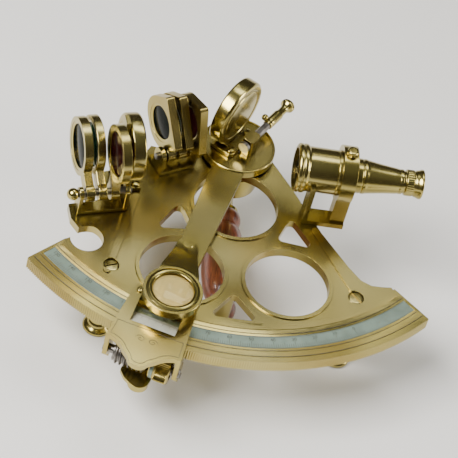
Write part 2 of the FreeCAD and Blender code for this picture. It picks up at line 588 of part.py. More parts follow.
def square_shade(at, rod_z, lean):
    """Shade frame with one straight side and one round side, and its round glass."""
    low, high = at - SHADE_T / 2, at + SHADE_T / 2
    half = INDEX_SHADE_W / 2
    bottom = rod_z + INDEX_SHADE_GAP
    top = bottom + INDEX_SHADE_H
    body = block(low, high, -half, half, bottom, top)
    far = [e for e in body.Edges if abs(e.tangentAt(0).x) > 0.99 and e.BoundBox.YMin > 0]
    body = body.makeFillet(8.0, far)
    near = [e for e in body.Edges if e.BoundBox.YMax < -half + 0.01
            and e.BoundBox.ZLength < 0.01 and e.BoundBox.XLength > SHADE_T / 2]
    body = body.makeFillet(1.2, near)
    centre = (bottom + top) / 2
    lug = rod(LUG_R, (low, 0, rod_z), (high, 0, rod_z))
    body = joined(body, lug)
    glass_r = half - 1.9
    body = body.cut(rod(glass_r, (low - 1, 0, centre), (high + 1, 0, centre)))
    body = body.cut(rod(ROD_R + SHAFT_CLEARANCE, (low - 1, 0, rod_z), (high + 1, 0, rod_z)))
    glass = rod(glass_r, (at - 0.7, 0, centre), (at + 0.7, 0, centre))
    for shape in (body, glass):
        shape.rotate(V(0, 0, rod_z), V(1, 0, 0), -lean)
    return body, glass


def horizon_shades():
    x, y = HORIZON_ROD_START
    place = (x, y, HORIZON_ROD_ANGLE)
    length = HORIZON_ROD_LENGTH
    bracket = shade_bracket(length, HORIZON_ROD_Z, 2.2, 0.0, length, -2.2, 2.2)
    piece("horizon_shade_bracket", standing(bracket, *place))
    bar = rod(ROD_R, (-2.6, 0, HORIZON_ROD_Z), (length + 0.8, 0, HORIZON_ROD_Z))
    piece("horizon_shade_rod", standing(bar, *place))
    nut = Part.makeSphere(2.1, V(-1.9, 0, HORIZON_ROD_Z))
    nut = nut.common(block(-4.5, -0.05, -3, 3, HORIZON_ROD_Z - 3, HORIZON_ROD_Z + 3))
    nut = nut.cut(rod(ROD_R, (-2.6, 0, HORIZON_ROD_Z), (5, 0, HORIZON_ROD_Z)))
    piece("horizon_shade_nut", standing(nut, *place))
    for index, (at, lean) in enumerate(HORIZON_SHADES):
        frame, glass = round_shade(at, HORIZON_ROD_Z, lean)
        piece("horizon_shade_frame_%d" % (index + 1), standing(frame, *place))
        piece("horizon_shade_glass_%d" % (index + 1), standing(glass, *place))


def index_shades():
    angle = PATH_ANGLE
    offset = (-INDEX_ROD_OFFSET * sin(radians(angle)), INDEX_ROD_OFFSET * cos(radians(angle)))
    place = (offset[0], offset[1], angle)
    start, end = -31.2, -15.6
    bracket = shade_bracket(end - start, INDEX_ROD_Z, 3.0, 0.0, end - start, -3.4, 5.8)
    bracket.translate(V(start, 0, 0))
    bracket = bracket.cut(slab([(-19.2, -3.6), (-15.0, -3.6), (-15.0, -0.4)], WEB_TOP, TOP + 3.4))
    piece("index_shade_bracket", standing(bracket, *place))
    bar = rod(ROD_R, (start - 1.2, 0, INDEX_ROD_Z), (end + 0.4, 0, INDEX_ROD_Z))
    piece("index_shade_rod", standing(bar, *place))
    head = screw(1.6, -27.8, 3.9, WEB_TOP + 1.5, 0.8)
    piece("index_shade_screw", standing(head, *place))
    for index, (at, lean) in enumerate(INDEX_SHADES):
        frame, glass = square_shade(at, INDEX_ROD_Z, lean)
        piece("index_shade_frame_%d" % (index + 1), standing(frame, *place))
        piece("index_shade_glass_%d" % (index + 1), standing(glass, *place))


# Telescope ----------------------------------------------------------------------------
def telescope():
    def along(profile):
        return turned(profile, (0, SCOPE_Y, OPTIC_Z), (1, 0, 0))
    lip = BARREL_START + 4.0
    barrel = along([(BARREL_BORE, BARREL_START), (BARREL_R + 0.2, BARREL_START),
                    (BARREL_R + 0.6, BARREL_START + 0.8), (BARREL_R + 0.6, lip - 0.8), (BARREL_R, lip),
                    (BARREL_R, BARREL_END + 0.6), (DRAW_R + SHAFT_CLEARANCE, BARREL_END + 0.6),
                    (DRAW_R + SHAFT_CLEARANCE, COLLAR_START), (BARREL_BORE, COLLAR_START)])
    piece("telescope_barrel", barrel)
    lens_at = BARREL_START + 1.7
    piece("objective_lens", along([(0, lens_at), (BARREL_BORE, lens_at), (BARREL_BORE, lens_at + 2.0),
                                   (0, lens_at + 2.0)]))
    draw = along([(DRAW_BORE, 28.0), (DRAW_R, 28.0), (DRAW_R, TAPER_START), (EYE_R, TAPER_END),
                  (DRAW_BORE, TAPER_END)])
    piece("telescope_draw_tube", draw)
    cup = along([(DRAW_BORE, TAPER_END), (EYE_R - 0.3, TAPER_END), (EYE_R - 0.3, TAPER_END + 0.9),
                 (EYE_R + 0.2, TAPER_END + 1.2), (EYE_R + 0.2, EYE_END - 2.2),
                 (EYE_CUP_R, EYE_END - 0.9), (EYE_CUP_R, EYE_END), (DRAW_BORE + 0.6, EYE_END),
                 (DRAW_BORE, EYE_END - 1.4)])
    piece("telescope_eye_cup", cup)
    lens_at = EYE_END - 3.8
    piece("eyepiece_lens", along([(0, lens_at), (DRAW_BORE, lens_at), (DRAW_BORE, lens_at + 1.2),
                                  (0, lens_at + 1.2)]))
    foot = block(BRACKET_START, BARREL_END, BRACKET_OUT_Y, BRACKET_IN_Y, WEB_TOP, WEB_TOP + 2.0)
    front = block(BRACKET_START, BRACKET_START + 1.8, BRACKET_OUT_Y, BRACKET_IN_Y, WEB_TOP, OPTIC_Z)
    rear = block(COLLAR_START, BARREL_END, BRACKET_OUT_Y + 1.0, BRACKET_IN_Y, WEB_TOP, OPTIC_Z)
    collar = along([(BARREL_R + 0.05, COLLAR_START), (COLLAR_R, COLLAR_START), (COLLAR_R, BARREL_END),
                    (BARREL_R + 0.05, BARREL_END)])
    bore = rod(BARREL_R + 0.05, (10, SCOPE_Y, OPTIC_Z), (50, SCOPE_Y, OPTIC_Z))
    bracket = joined(foot, front, rear, collar).cut(bore)
    upper = block(20, 40, SCOPE_Y - 20, SCOPE_Y + 20, OPTIC_Z + 0.0, OPTIC_Z + 20).cut(
        rod(COLLAR_R, (10, SCOPE_Y, OPTIC_Z), (50, SCOPE_Y, OPTIC_Z)))
    bracket = bracket.cut(upper)
    screw_x = (COLLAR_START + BARREL_END) / 2
    bracket = bracket.cut(disc(1.15, OPTIC_Z + 5, OPTIC_Z + 12, screw_x, SCOPE_Y))
    piece("telescope_bracket", bracket)
    clamp = turned([(0, 0), (1.1, 0), (1.1, 1.0), (2.0, 1.0), (2.0, 2.8), (1.6, 3.2), (0, 3.2)],
                   (screw_x, SCOPE_Y, OPTIC_Z + COLLAR_R - 1.0), (0, 0, 1))
    piece("collar_screw", clamp)


os.makedirs("parts", exist_ok=True)
piece("frame_plate", frame_plate())
arc_scale()
legs()
pivot()
handle()
index_arm()
clamp_housing()
micrometer()
release_lever()
magnifier()
index_mirror()
index_adjuster()
horizon_mirror()
horizon_shades()
index_shades()
telescope()

for name, shapes in PIECES.items():
    node = shapes[0] if len(shapes) == 1 else Part.makeCompound(shapes)
    node.exportStep("parts/%s.step" % name)
    if not node.isValid() or len(node.Solids) != len(shapes):
        print("not a clean solid:", name)
print(len(PIECES), "nodes")
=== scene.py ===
"""Looks of the brass sextant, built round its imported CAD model.  Metres, in the part's frame."""
import json
from math import cos, pi, radians, sin

import bmesh
import bpy
from mathutils import Matrix, Vector


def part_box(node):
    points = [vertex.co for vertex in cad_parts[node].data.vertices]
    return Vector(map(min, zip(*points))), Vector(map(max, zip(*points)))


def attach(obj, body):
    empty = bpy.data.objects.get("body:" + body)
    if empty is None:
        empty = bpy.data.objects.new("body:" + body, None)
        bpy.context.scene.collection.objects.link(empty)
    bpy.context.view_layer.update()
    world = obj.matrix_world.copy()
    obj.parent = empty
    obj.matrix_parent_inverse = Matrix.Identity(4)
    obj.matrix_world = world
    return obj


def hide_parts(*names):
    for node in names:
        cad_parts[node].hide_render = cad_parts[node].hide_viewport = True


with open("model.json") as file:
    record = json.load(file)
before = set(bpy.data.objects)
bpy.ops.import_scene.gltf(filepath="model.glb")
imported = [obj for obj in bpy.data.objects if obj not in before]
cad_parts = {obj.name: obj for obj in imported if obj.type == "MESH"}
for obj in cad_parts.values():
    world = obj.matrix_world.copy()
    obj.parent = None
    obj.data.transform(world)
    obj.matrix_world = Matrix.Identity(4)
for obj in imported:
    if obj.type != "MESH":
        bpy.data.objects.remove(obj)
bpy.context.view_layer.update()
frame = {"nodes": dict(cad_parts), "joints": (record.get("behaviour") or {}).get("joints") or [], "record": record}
JOINTS = {joint["name"]: joint for joint in frame["joints"]}

MM = 0.001
X, Z = Vector((1, 0, 0)), Vector((0, 0, 1))


# Places read from the frame ---------
def middle(node):
    low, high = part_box(node)
    return (Vector(low) + Vector(high)) / 2


def joint_axis(name):
    return Vector(JOINTS[name]["axis"]).normalized()


def joint_place(name):
    return Vector(JOINTS[name]["pos_m"])


SCALE_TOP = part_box("arc_scale")[1][2]
LIMB_RADIUS = -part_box("frame_plate")[0][1]
OPTIC_HEIGHT = middle("objective_lens").z
SCOPE_AXIS_Y = middle("objective_lens").y
ARM_TANGENT = joint_axis("micrometer_turn")
ARM_OUTWARD = Vector((ARM_TANGENT.y, -ARM_TANGENT.x, 0))
HORIZON_ROD = joint_axis("horizon_shade_1_swing")
INDEX_ROD = joint_axis("index_shade_1_swing")
MIRROR_PLANE = joint_axis("index_mirror_adjuster_turn")
INDEX_FACING = Vector((-MIRROR_PLANE.y, MIRROR_PLANE.x, 0))


# Materials --------------------------
class Shader:
    """A node material under construction: one Principled shader fed by procedural nodes."""

    def __init__(self, name, **values):
        self.material = bpy.data.materials.new(name)
        self.material.use_nodes = True
        self.tree = self.material.node_tree
        self.shader = self.tree.nodes["Principled BSDF"]
        for key, value in values.items():
            self.shader.inputs[key.replace("_", " ")].default_value = value
        self.place = self.new("ShaderNodeTexCoord").outputs["Object"]

    def new(self, kind, **settings):
        node = self.tree.nodes.new(kind)
        for key, value in settings.items():
            setattr(node, key, value)
        return node

    def link(self, output, target):
        self.tree.links.new(output, target)

    def stretched(self, scale, axis=None):
        """Object coordinates in millimetres times a scale (one number, or one for each direction),
        turned so that Z runs along an axis where one is given."""
        mapping = self.new("ShaderNodeMapping")
        each = scale if isinstance(scale, tuple) else (scale,) * 3
        mapping.inputs["Scale"].default_value = [1000 * s for s in each]
        source = self.place
        if axis is not None:
            turn = self.new("ShaderNodeVectorRotate", rotation_type="EULER_XYZ")
            turn.inputs["Rotation"].default_value = axis.rotation_difference(Z).to_euler()
            self.link(source, turn.inputs["Vector"])
            source = turn.outputs[0]
        self.link(source, mapping.inputs["Vector"])
        return mapping.outputs[0]

    def noise(self, scale, detail=4.0, rough=0.55, distortion=0.0, axis=None):
        node = self.new("ShaderNodeTexNoise")
        node.inputs["Scale"].default_value = 1.0
        node.inputs["Detail"].default_value = detail
        node.inputs["Roughness"].default_value = rough
        node.inputs["Distortion"].default_value = distortion
        self.link(self.stretched(scale, axis), node.inputs["Vector"])
        return node.outputs["Fac"]

    def span(self, value, low, high, to_low=0.0, to_high=1.0):
        node = self.new("ShaderNodeMapRange")
        for key, number in (("From Min", low), ("From Max", high), ("To Min", to_low), ("To Max", to_high)):
            node.inputs[key].default_value = number
        self.link(value, node.inputs["Value"])
        return node.outputs[0]

    def maths(self, operation, a, b):
        node = self.new("ShaderNodeMath", operation=operation)
        for socket, value in ((node.inputs[0], a), (node.inputs[1], b)):
            if isinstance(value, (int, float)):
                socket.default_value = value
            else:
                self.link(value, socket)
        return node.outputs[0]

    def mix(self, share, first, second):
        node = self.new("ShaderNodeMix", data_type="RGBA")
        self.link(share, node.inputs[0])
        for socket, value in ((node.inputs[6], first), (node.inputs[7], second)):
            if isinstance(value, tuple):
                socket.default_value = (*value, 1.0)
            else:
                self.link(value, socket)
        return node.outputs[2]

    def crevices(self, distance):
        """Painted shade: one where ambient occlusion finds a corner in shade, zero on open faces."""
        node = self.new("ShaderNodeAmbientOcclusion", samples=6)
        node.inputs["Distance"].default_value = distance
        return self.span(node.outputs["AO"], 0.25, 0.8, 1.0, 0.0)

    def colour(self, output):
        self.link(output, self.shader.inputs["Base Color"])

    def roughness(self, output):
        self.link(output, self.shader.inputs["Roughness"])

    def bump(self, *layers):
        """Height layers as (output, strength, distance in metres)."""
        normal = None
        for height, strength, distance in layers:
            node = self.new("ShaderNodeBump")
            node.inputs["Strength"].default_value = strength
            node.inputs["Distance"].default_value = distance
            self.link(height, node.inputs["Height"])
            if normal is not None:
                self.link(normal, node.inputs["Normal"])
            normal = node.outputs[0]
        self.link(normal, self.shader.inputs["Normal"])


BRASS = (0.445, 0.365, 0.11)
BRASS_PALE = (0.50, 0.425, 0.165)
BRASS_DEEP = (0.345, 0.24, 0.055)
# dark colour of the painted shade in corners
PAINTED_CORNER_SHADE = (0.07, 0.045, 0.018)


def brass(name, rough, grain, axis=None, waviness=0.25, tarnish=0.5):
    """Lacquered brass: clouded colour, deeper tarnish, painted shade in corners, soft ripples and polishing
    streaks.
    """
    shader = Shader(name, Metallic=1.0)
    clouds = shader.noise((0.035, 0.035, 0.05), 1, 0.4, 0.3)
    stain = shader.noise(0.05, 0, 0.4, 0.3)
    base = shader.mix(shader.span(clouds, 0.36, 0.66), BRASS, BRASS_PALE)
    base = shader.mix(shader.span(stain, 0.48, 0.72, 0.0, tarnish), base, BRASS_DEEP)
    # painted shade: darker colour mixed in where ambient occlusion finds corners
    base = shader.mix(shader.maths("MULTIPLY", shader.crevices(0.0016), 0.85), base, PAINTED_CORNER_SHADE)
    shader.colour(base)
    streaks = shader.noise(grain, 3, 0.6, 0.0, axis)
    smudges = shader.noise(0.07, 1, 0.4, 0.3)
    shine = shader.maths("ADD", shader.span(streaks, 0.3, 0.7, rough * 0.95, rough * 1.05),
                         shader.span(smudges, 0.45, 0.7, 0.0, 0.02))
    shader.roughness(shine)
    ripples = shader.noise(0.032, 0, 0.3)
    shader.bump((ripples, waviness, 0.0025), (streaks, 0.004, 0.00002))
    return shader.material


def steel_rod():
    shader = Shader("blued_steel_rod", Metallic=1.0)
    age = shader.noise(0.3, 5, 0.6)
    shader.colour(shader.mix(shader.span(age, 0.35, 0.7), (0.30, 0.285, 0.26), (0.16, 0.14, 0.12)))
    lines = shader.noise((6, 6, 0.4), 3, 0.6)
    shader.roughness(shader.span(lines, 0.3, 0.7, 0.29, 0.38))
    shader.bump((lines, 0.12, 0.00004))
    return shader.material


def silvering(name, metal, pale, grey):
    """Matt silvered brass of the scales, with warm tarnish flecks and a warm painted shade in its corners."""
    shader = Shader(name, Metallic=metal)
    cloud = shader.noise(0.12, 5, 0.62, 0.5)
    fine = shader.noise(1.6, 4, 0.6)
    base = shader.mix(shader.span(cloud, 0.38, 0.68), pale, grey)
    flecks = shader.maths("MULTIPLY", shader.span(fine, 0.56, 0.75), 0.6)
    base = shader.mix(flecks, base, (0.36, 0.31, 0.17))
    # painted shade: warm dark colour where ambient occlusion finds corners
    base = shader.mix(shader.crevices(0.0009), base, (0.20, 0.15, 0.07))
    shader.colour(base)
    shader.roughness(shader.span(fine, 0.3, 0.7, 0.31, 0.42))
    shader.bump((fine, 0.05, 0.00005), (cloud, 0.12, 0.0006))
    return shader.material


def engraving_fill():
    shader = Shader("engraving_wax", Metallic=0.0)
    wear = shader.noise(2.2, 3, 0.6)
    shader.colour(shader.mix(shader.span(wear, 0.4, 0.75), (0.012, 0.011, 0.010), (0.10, 0.08, 0.05)))
    shader.roughness(shader.span(wear, 0.3, 0.7, 0.45, 0.7))
    return shader.material


def blacking():
    """Matt black lining of the telescope."""
    shader = Shader("tube_blacking", Metallic=0.0)
    dust = shader.noise(1.1, 5, 0.6)
    shader.colour(shader.mix(shader.span(dust, 0.5, 0.8), (0.012, 0.011, 0.010), (0.07, 0.06, 0.05)))
    shader.roughness(shader.span(dust, 0.3, 0.7, 0.5, 0.8))
    shader.bump((dust, 0.15, 0.00006))
    return shader.material


def rosewood(axis):
    """Dark red wood, its grain along the grip, with pores and a rubbed oil shine."""
    shader = Shader("rosewood_grain", Metallic=0.0, Coat_Weight=0.5, Coat_Roughness=0.18)
    bands = shader.noise((0.34, 0.34, 0.018), 5, 0.62, 1.6, axis)
    veins = shader.noise((1.6, 1.6, 0.05), 4, 0.6, 0.8, axis)
    pores = shader.noise((7.0, 7.0, 0.35), 2, 0.5, 0.0, axis)
    base = shader.mix(shader.span(bands, 0.38, 0.64), (0.30, 0.075, 0.026), (0.10, 0.022, 0.012))
    dark_veins = shader.maths("MULTIPLY", shader.span(veins, 0.52, 0.7), 0.8)
    open_pores = shader.maths("MULTIPLY", shader.span(pores, 0.6, 0.72), 0.7)
    base = shader.mix(dark_veins, base, (0.035, 0.010, 0.008))
    base = shader.mix(open_pores, base, (0.015, 0.006, 0.004))
    shader.colour(base)
    shader.roughness(shader.span(veins, 0.3, 0.7, 0.26, 0.42))
    shader.bump((pores, 0.25, 0.00008), (bands, 0.08, 0.0003))
    return shader.material


def clear_glass(name, tint, clear, alpha, rough=0.02):
    shader = Shader(name, Transmission_Weight=clear, IOR=1.45, Alpha=alpha, Specular_IOR_Level=0.3)
    smear = shader.noise(0.4, 5, 0.6, 1.0)
    shader.colour(shader.mix(shader.span(smear, 0.4, 0.75), tint, tuple(0.86 * c for c in tint)))
    shader.roughness(shader.span(smear, 0.45, 0.75, rough, rough + 0.09))
    return shader.material


def tinted_glass(name, tint, deep):
    """Dark shade glass: its colour seen through, under a faint shine."""
    shader = Shader(name, Transmission_Weight=0.5, IOR=1.16, Specular_IOR_Level=0.15)
    smear = shader.noise(0.35, 5, 0.62, 1.0)
    shader.colour(shader.mix(shader.span(smear, 0.35, 0.7), tint, deep))
    shader.roughness(shader.span(smear, 0.4, 0.75, 0.03, 0.16))
    return shader.material


def mirror_silver():
    shader = Shader("mirror_silvering", Metallic=1.0)
    bloom = shader.noise(0.5, 6, 0.65, 0.8)
    specks = shader.noise(3.0, 2, 0.5)
    base = shader.mix(shader.span(bloom, 0.5, 0.8), (0.86, 0.89, 0.88), (0.62, 0.64, 0.60))
    shader.colour(shader.mix(shader.span(specks, 0.68, 0.74), base, (0.12, 0.11, 0.10)))
    shader.roughness(shader.span(bloom, 0.5, 0.8, 0.015, 0.12))
    return shader.material


def pale_floor():
    shader = Shader("studio_floor", Metallic=0.0, Specular_IOR_Level=0.25)
    cloud = shader.noise(0.004, 3, 0.5)
    shader.colour(shader.mix(cloud, (0.80, 0.79, 0.77), (0.84, 0.83, 0.81)))
    shader.roughness(shader.span(cloud, 0.3, 0.7, 0.6, 0.75))
    return shader.material


CAST = brass("frame_brass", 0.235, 0.9, None, 0.8, 0.6)
SHEET = brass("sheet_brass", 0.22, 1.1, None, 0.5, 0.5)
ARM = brass("arm_brass", 0.22, (0.06, 0.9, 0.06), ARM_TANGENT, 0.35, 0.3)
CUP = brass("spun_brass", 0.19, 1.3, None, 0.1, 0.4)
TURNED_Z = brass("turned_brass_upright", 0.19, (0.05, 0.05, 3.2), None, 0.04, 0.4)
TURNED_X = brass("turned_brass_tube", 0.22, (0.05, 0.05, 3.2), X, 0.04, 0.35)
TURNED_SMALL = brass("turned_brass_small", 0.20, 2.5, None, 0.04, 0.4)
SCREW = brass("screw_brass", 0.22, 4.0, None, 0.05, 0.8)
STEEL = steel_rod()
SILVER = silvering("silvered_arc", 0.8, (0.27, 0.35, 0.29), (0.21, 0.27, 0.22))
# painted highlight: a paler, mostly matt copy of the silvering that stands for the vernier's bright reflection
SILVER_PAINTED_HIGHLIGHT = silvering("silvered_vernier_painted_highlight", 0.2, (0.66, 0.68, 0.60), (0.50, 0.52, 0.44))
WAX = engraving_fill()
BLACK = blacking()
LENS = clear_glass("lens_glass", (0.93, 0.98, 0.95), 1.0, 0.4)
# painted glow: a golden, partly matt tint in the glass that stands for the bright, lit brass seen through the lens
MAGNIFIER_GLASS_PAINTED_GLOW = clear_glass("magnifier_glass", (0.98, 0.79, 0.30), 0.58, 0.7)
MIRROR = mirror_silver()
SHADES = {1: tinted_glass("shade_smoke", (0.010, 0.014, 0.010), (0.004, 0.006, 0.004)),
          2: tinted_glass("shade_green", (0.02, 0.085, 0.04), (0.008, 0.04, 0.02)),
          3: tinted_glass("shade_red", (0.034, 0.005, 0.006), (0.016, 0.003, 0.003))}


# Mesh tools -------------------------
def linked(name, data):
    """A new object in the scene."""
    holder = bpy.data.objects.new(name, data)
    bpy.context.scene.collection.objects.link(holder)
    return holder


def mesh_of(shape, name):
    """The mesh of a finished bmesh, which is freed."""
    mesh = bpy.data.meshes.new(name)
    shape.to_mesh(mesh)
    shape.free()
    return mesh


def evaluated_mesh(holder):
    depsgraph = bpy.context.evaluated_depsgraph_get()
    return bpy.data.meshes.new_from_object(holder.evaluated_get(depsgraph))


def add_object(name, mesh, material, body):
    piece = linked(name, mesh)
    mesh.materials.clear()
    mesh.materials.append(material)
    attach(piece, body)
    return piece


def body_of_node(node):
    for body, nodes in frame["record"]["behaviour"]["bodies"].items():
        if node in nodes:
            return body


def smooth(mesh, angle=35):
    mesh.polygons.foreach_set("use_smooth", [True] * len(mesh.polygons))
    mesh.set_sharp_from_angle(angle=radians(angle))


def is_sliver(face):
    return face.calc_area() <= 0.0004 * face.calc_perimeter() ** 2


def softened(node, material, width=0.22, segments=2, angle=32, crisp_from=None):
    """The node's shape with its sharp edges eased, as a piece that stands for the node.  Edges
    wholly farther from the pivot than crisp_from (metres) stay sharp."""
    mesh = frame["nodes"][node].data.copy()
    mesh.name = node + "_eased"
    shape = bmesh.new()
    shape.from_mesh(mesh)
    bmesh.ops.remove_doubles(shape, verts=shape.verts, dist=2e-6)
    bmesh.ops.dissolve_degenerate(shape, dist=4e-6, edges=shape.edges)
    bmesh.ops.dissolve_limit(shape, angle_limit=radians(0.6), verts=shape.verts, edges=shape.edges)
    weight = shape.edges.layers.float.new("bevel_weight_edge")
    for edge in shape.edges:
        crisp = crisp_from is not None and all(vert.co.xy.length > crisp_from for vert in edge.verts)
        sharp = edge.is_manifold and edge.calc_face_angle() > radians(angle)
        sharp = sharp and not any(is_sliver(face) for face in edge.link_faces)
        edge[weight] = 1.0 if sharp and not crisp else 0.0
    shape.to_mesh(mesh)
    shape.free()
    smooth(mesh, angle)
    piece = add_object(node + "_eased", mesh, material, body_of_node(node))
    bevel = piece.modifiers.new("eased_edges", "BEVEL")
    bevel.width = width * MM
    bevel.segments = segments
    bevel.limit_method = "WEIGHT"
    bevel.harden_normals = True
    bevel.use_clamp_overlap = True
    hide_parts(node)
    return piece


def basis(axis):
    """Turns +Z to an axis."""
    return Z.rotation_difference(axis).to_matrix().to_4x4()


def rounded(profile, radius, steps=3):
    """A turned profile (radius, height in mm) with its corners rounded by short arcs."""
    points = []
    for index, (r, h) in enumerate(profile):
        before = profile[index - 1] if index else None
        after = profile[index + 1] if index + 1 < len(profile) else None
        if before is None or after is None:
            points.append((r, h))
            continue
        corner = Vector((r, h))
        back, ahead = Vector(before) - corner, Vector(after) - corner
        reach = min(radius, back.length * 0.4, ahead.length * 0.4)
        if reach < 0.01 or abs(back.normalized().dot(ahead.normalized())) > 0.995:
            points.append((r, h))
            continue
        start, end = corner + back.normalized() * reach, corner + ahead.normalized() * reach
        for step in range(steps + 1):
            t = step / steps
            points.append(tuple(start * (1 - t) ** 2 + corner * 2 * t * (1 - t) + end * t * t))
    return points


def turned_mesh(name, profile, origin, axis, around=72, ridge=None):
    """Lathe work.  profile is a list of (radius, height) in mm, open or closed at the axis; ridge
    is (from height, to height, count, depth) of a straight knurl."""
    shape = bmesh.new()
    place = Matrix.Translation(origin) @ basis(axis)
    rings = []
    for r, h in profile:
        row = []
        if r < 1e-4:
            row.append(shape.verts.new(place @ Vector((0, 0, h * MM))))
        else:
            for step in range(around):
                angle = 2 * pi * step / around
                radius = r
                if ridge and ridge[0] <= h <= ridge[1]:
                    radius -= ridge[3] * (0.5 - 0.5 * cos(angle * ridge[2]))
                row.append(shape.verts.new(place @ Vector((radius * cos(angle) * MM,
                                                           radius * sin(angle) * MM, h * MM))))
        rings.append(row)
    closed = profile[0] == profile[-1]
    pairs = list(zip(rings, rings[1:]))
    if closed:
        for vert in rings[-1]:
            shape.verts.remove(vert)
        rings.pop()
        pairs = list(zip(rings, rings[1:] + rings[:1]))
    for low, high in pairs:
        for step in range(around):
            nxt = (step + 1) % around
            if len(low) == 1 and len(high) == 1:
                continue
            if len(low) == 1:
                shape.faces.new((low[0], high[nxt], high[step]))
            elif len(high) == 1:
                shape.faces.new((low[step], low[nxt], high[0]))
            else:
                shape.faces.new((low[step], low[nxt], high[nxt], high[step]))
    bmesh.ops.recalc_face_normals(shape, faces=shape.faces)
    mesh = mesh_of(shape, name)
    smooth(mesh, 40)
    return mesh


def turned(name, profile, origin, axis, material, body, around=72, ridge=None):
    mesh = turned_mesh(name, profile, origin, axis, around, ridge)
    return add_object(name, mesh, material, body)


def bars(name, places, material, body):
    """Many small straight bars as one mesh; each place is (centre, along, across, up) with half sizes
    as the vectors' lengths."""
    shape = bmesh.new()
    for centre, along, across, up in places:
        corners = []
        for a, b, c in ((-1, -1, -1), (1, -1, -1), (1, 1, -1), (-1, 1, -1),
                        (-1, -1, 1), (1, -1, 1), (1, 1, 1), (-1, 1, 1)):
            corners.append(shape.verts.new(centre + along * a + across * b + up * c))
        for face in ((0, 3, 2, 1), (4, 5, 6, 7), (0, 1, 5, 4),
                     (1, 2, 6, 5), (2, 3, 7, 6), (3, 0, 4, 7)):
            shape.faces.new([corners[i] for i in face])
    bmesh.ops.recalc_face_normals(shape, faces=shape.faces)
    return add_object(name, mesh_of(shape, name), material, body)


def tube_along(name, points, radius, material, body):
    """Round wire through points, with closed ends."""
    curve = bpy.data.curves.new(name, "CURVE")
    curve.dimensions = "3D"
    curve.bevel_depth = radius
    curve.bevel_resolution = 3
    curve.use_fill_caps = True
    spline = curve.splines.new("POLY")
    spline.points.add(len(points) - 1)
    for target, point in zip(spline.points, points):
        target.co = (*point, 1)
    holder = linked(name + "_path", curve)
    mesh = evaluated_mesh(holder)
    bpy.data.objects.remove(holder)
    bpy.data.curves.remove(curve)
    smooth(mesh, 60)
    return add_object(name, mesh, material, body)


def slotted_head(name, centre, axis, radius, height, body, slot_angle=0.0, slot_width=0.5, dome=0.25):
    """Screw head with an eased rim, a slightly domed top and a cut slot."""
    profile = rounded([(0, 0), (radius, 0), (radius, height * 0.72), (radius * 0.8, height * 0.94),
                       (0, height + dome * 0.2)], 0.25)
    mesh = turned_mesh(name, profile, centre, axis, 40)
    piece = add_object(name, mesh, SCREW, body)
    shape = bmesh.new()
    bmesh.ops.create_cube(shape, size=1.0)
    place = (Matrix.Translation(centre) @ basis(axis) @ Matrix.Rotation(slot_angle, 4, "Z")
             @ Matrix.Translation((0, 0, height * MM)))
    bmesh.ops.scale(shape, vec=(radius * 2.6 * MM, slot_width * MM, height * MM), verts=shape.verts)
    bmesh.ops.transform(shape, matrix=place, verts=shape.verts)
    cutter = linked(name + "_cutter", mesh_of(shape, name + "_cutter"))
    cut = piece.modifiers.new("slot", "BOOLEAN")
    cut.operation = "DIFFERENCE"
    cut.solver = "EXACT"
    cut.object = cutter
    bpy.context.view_layer.update()
    mesh = evaluated_mesh(piece)
    piece.modifiers.clear()
    piece.data = mesh
    bpy.data.objects.remove(cutter)
    smooth(piece.data, 35)
    piece.data.materials.clear()
    piece.data.materials.append(SCREW)
    return piece


def screw_heads(prefix, places, radius, height, body, first_turn, next_turn, slot_width):
    """Upright slotted heads, each with its slot turned another way."""
    return [slotted_head("%s_%d" % (prefix, index), place, Z, radius, height, body,
                         first_turn + next_turn * index, slot_width)
            for index, place in enumerate(places)]


# Frame, arc and legs ----------------
def limb_direction(angle):
    """Direction from the pivot, measured from the middle of the arc towards the eyepiece."""
    return Vector((sin(radians(angle)), -cos(radians(angle)), 0))


SCALE_ZERO = 29.0         # where the arm's direction reads zero, in degrees from the middle
SCALE_TURN = 0.5          # degrees of arm for each degree read
SCALE_INNER, SCALE_OUTER = 81.4, 86.1
SCALE_MARGIN = 0.15       # from the scale's outer edge to the lines
LINE_LIFT = 0.008 * MM    # engraved lines stand just proud of their faces
LINE_HALF_WIDTH, LINE_HALF_HEIGHT = 0.055 * MM, 0.012 * MM
SCALE_ENDS = (-47.3, 44.6)
LIMB_LINE_ENDS = (-48.2, 45.4)
LAST_READING = 151


def tick(direction, inner, outer, height):
    """A radial engraved line on the scale."""
    centre = direction * (inner + outer) / 2 * MM + Z * height
    along = direction * (outer - inner) / 2 * MM
    return centre, along, Z.cross(direction) * LINE_HALF_WIDTH, Z * LINE_HALF_HEIGHT


def arc_line(name, ends, radius, height, half_width):
    """Engraved line round the arc, between two directions in degrees."""
    steps = 180
    points = [limb_direction(ends[0] + (ends[1] - ends[0]) * i / steps) * radius * MM + Z * height
              for i in range(steps + 1)]
    tube_along(name, points, half_width * MM, WAX, "frame")


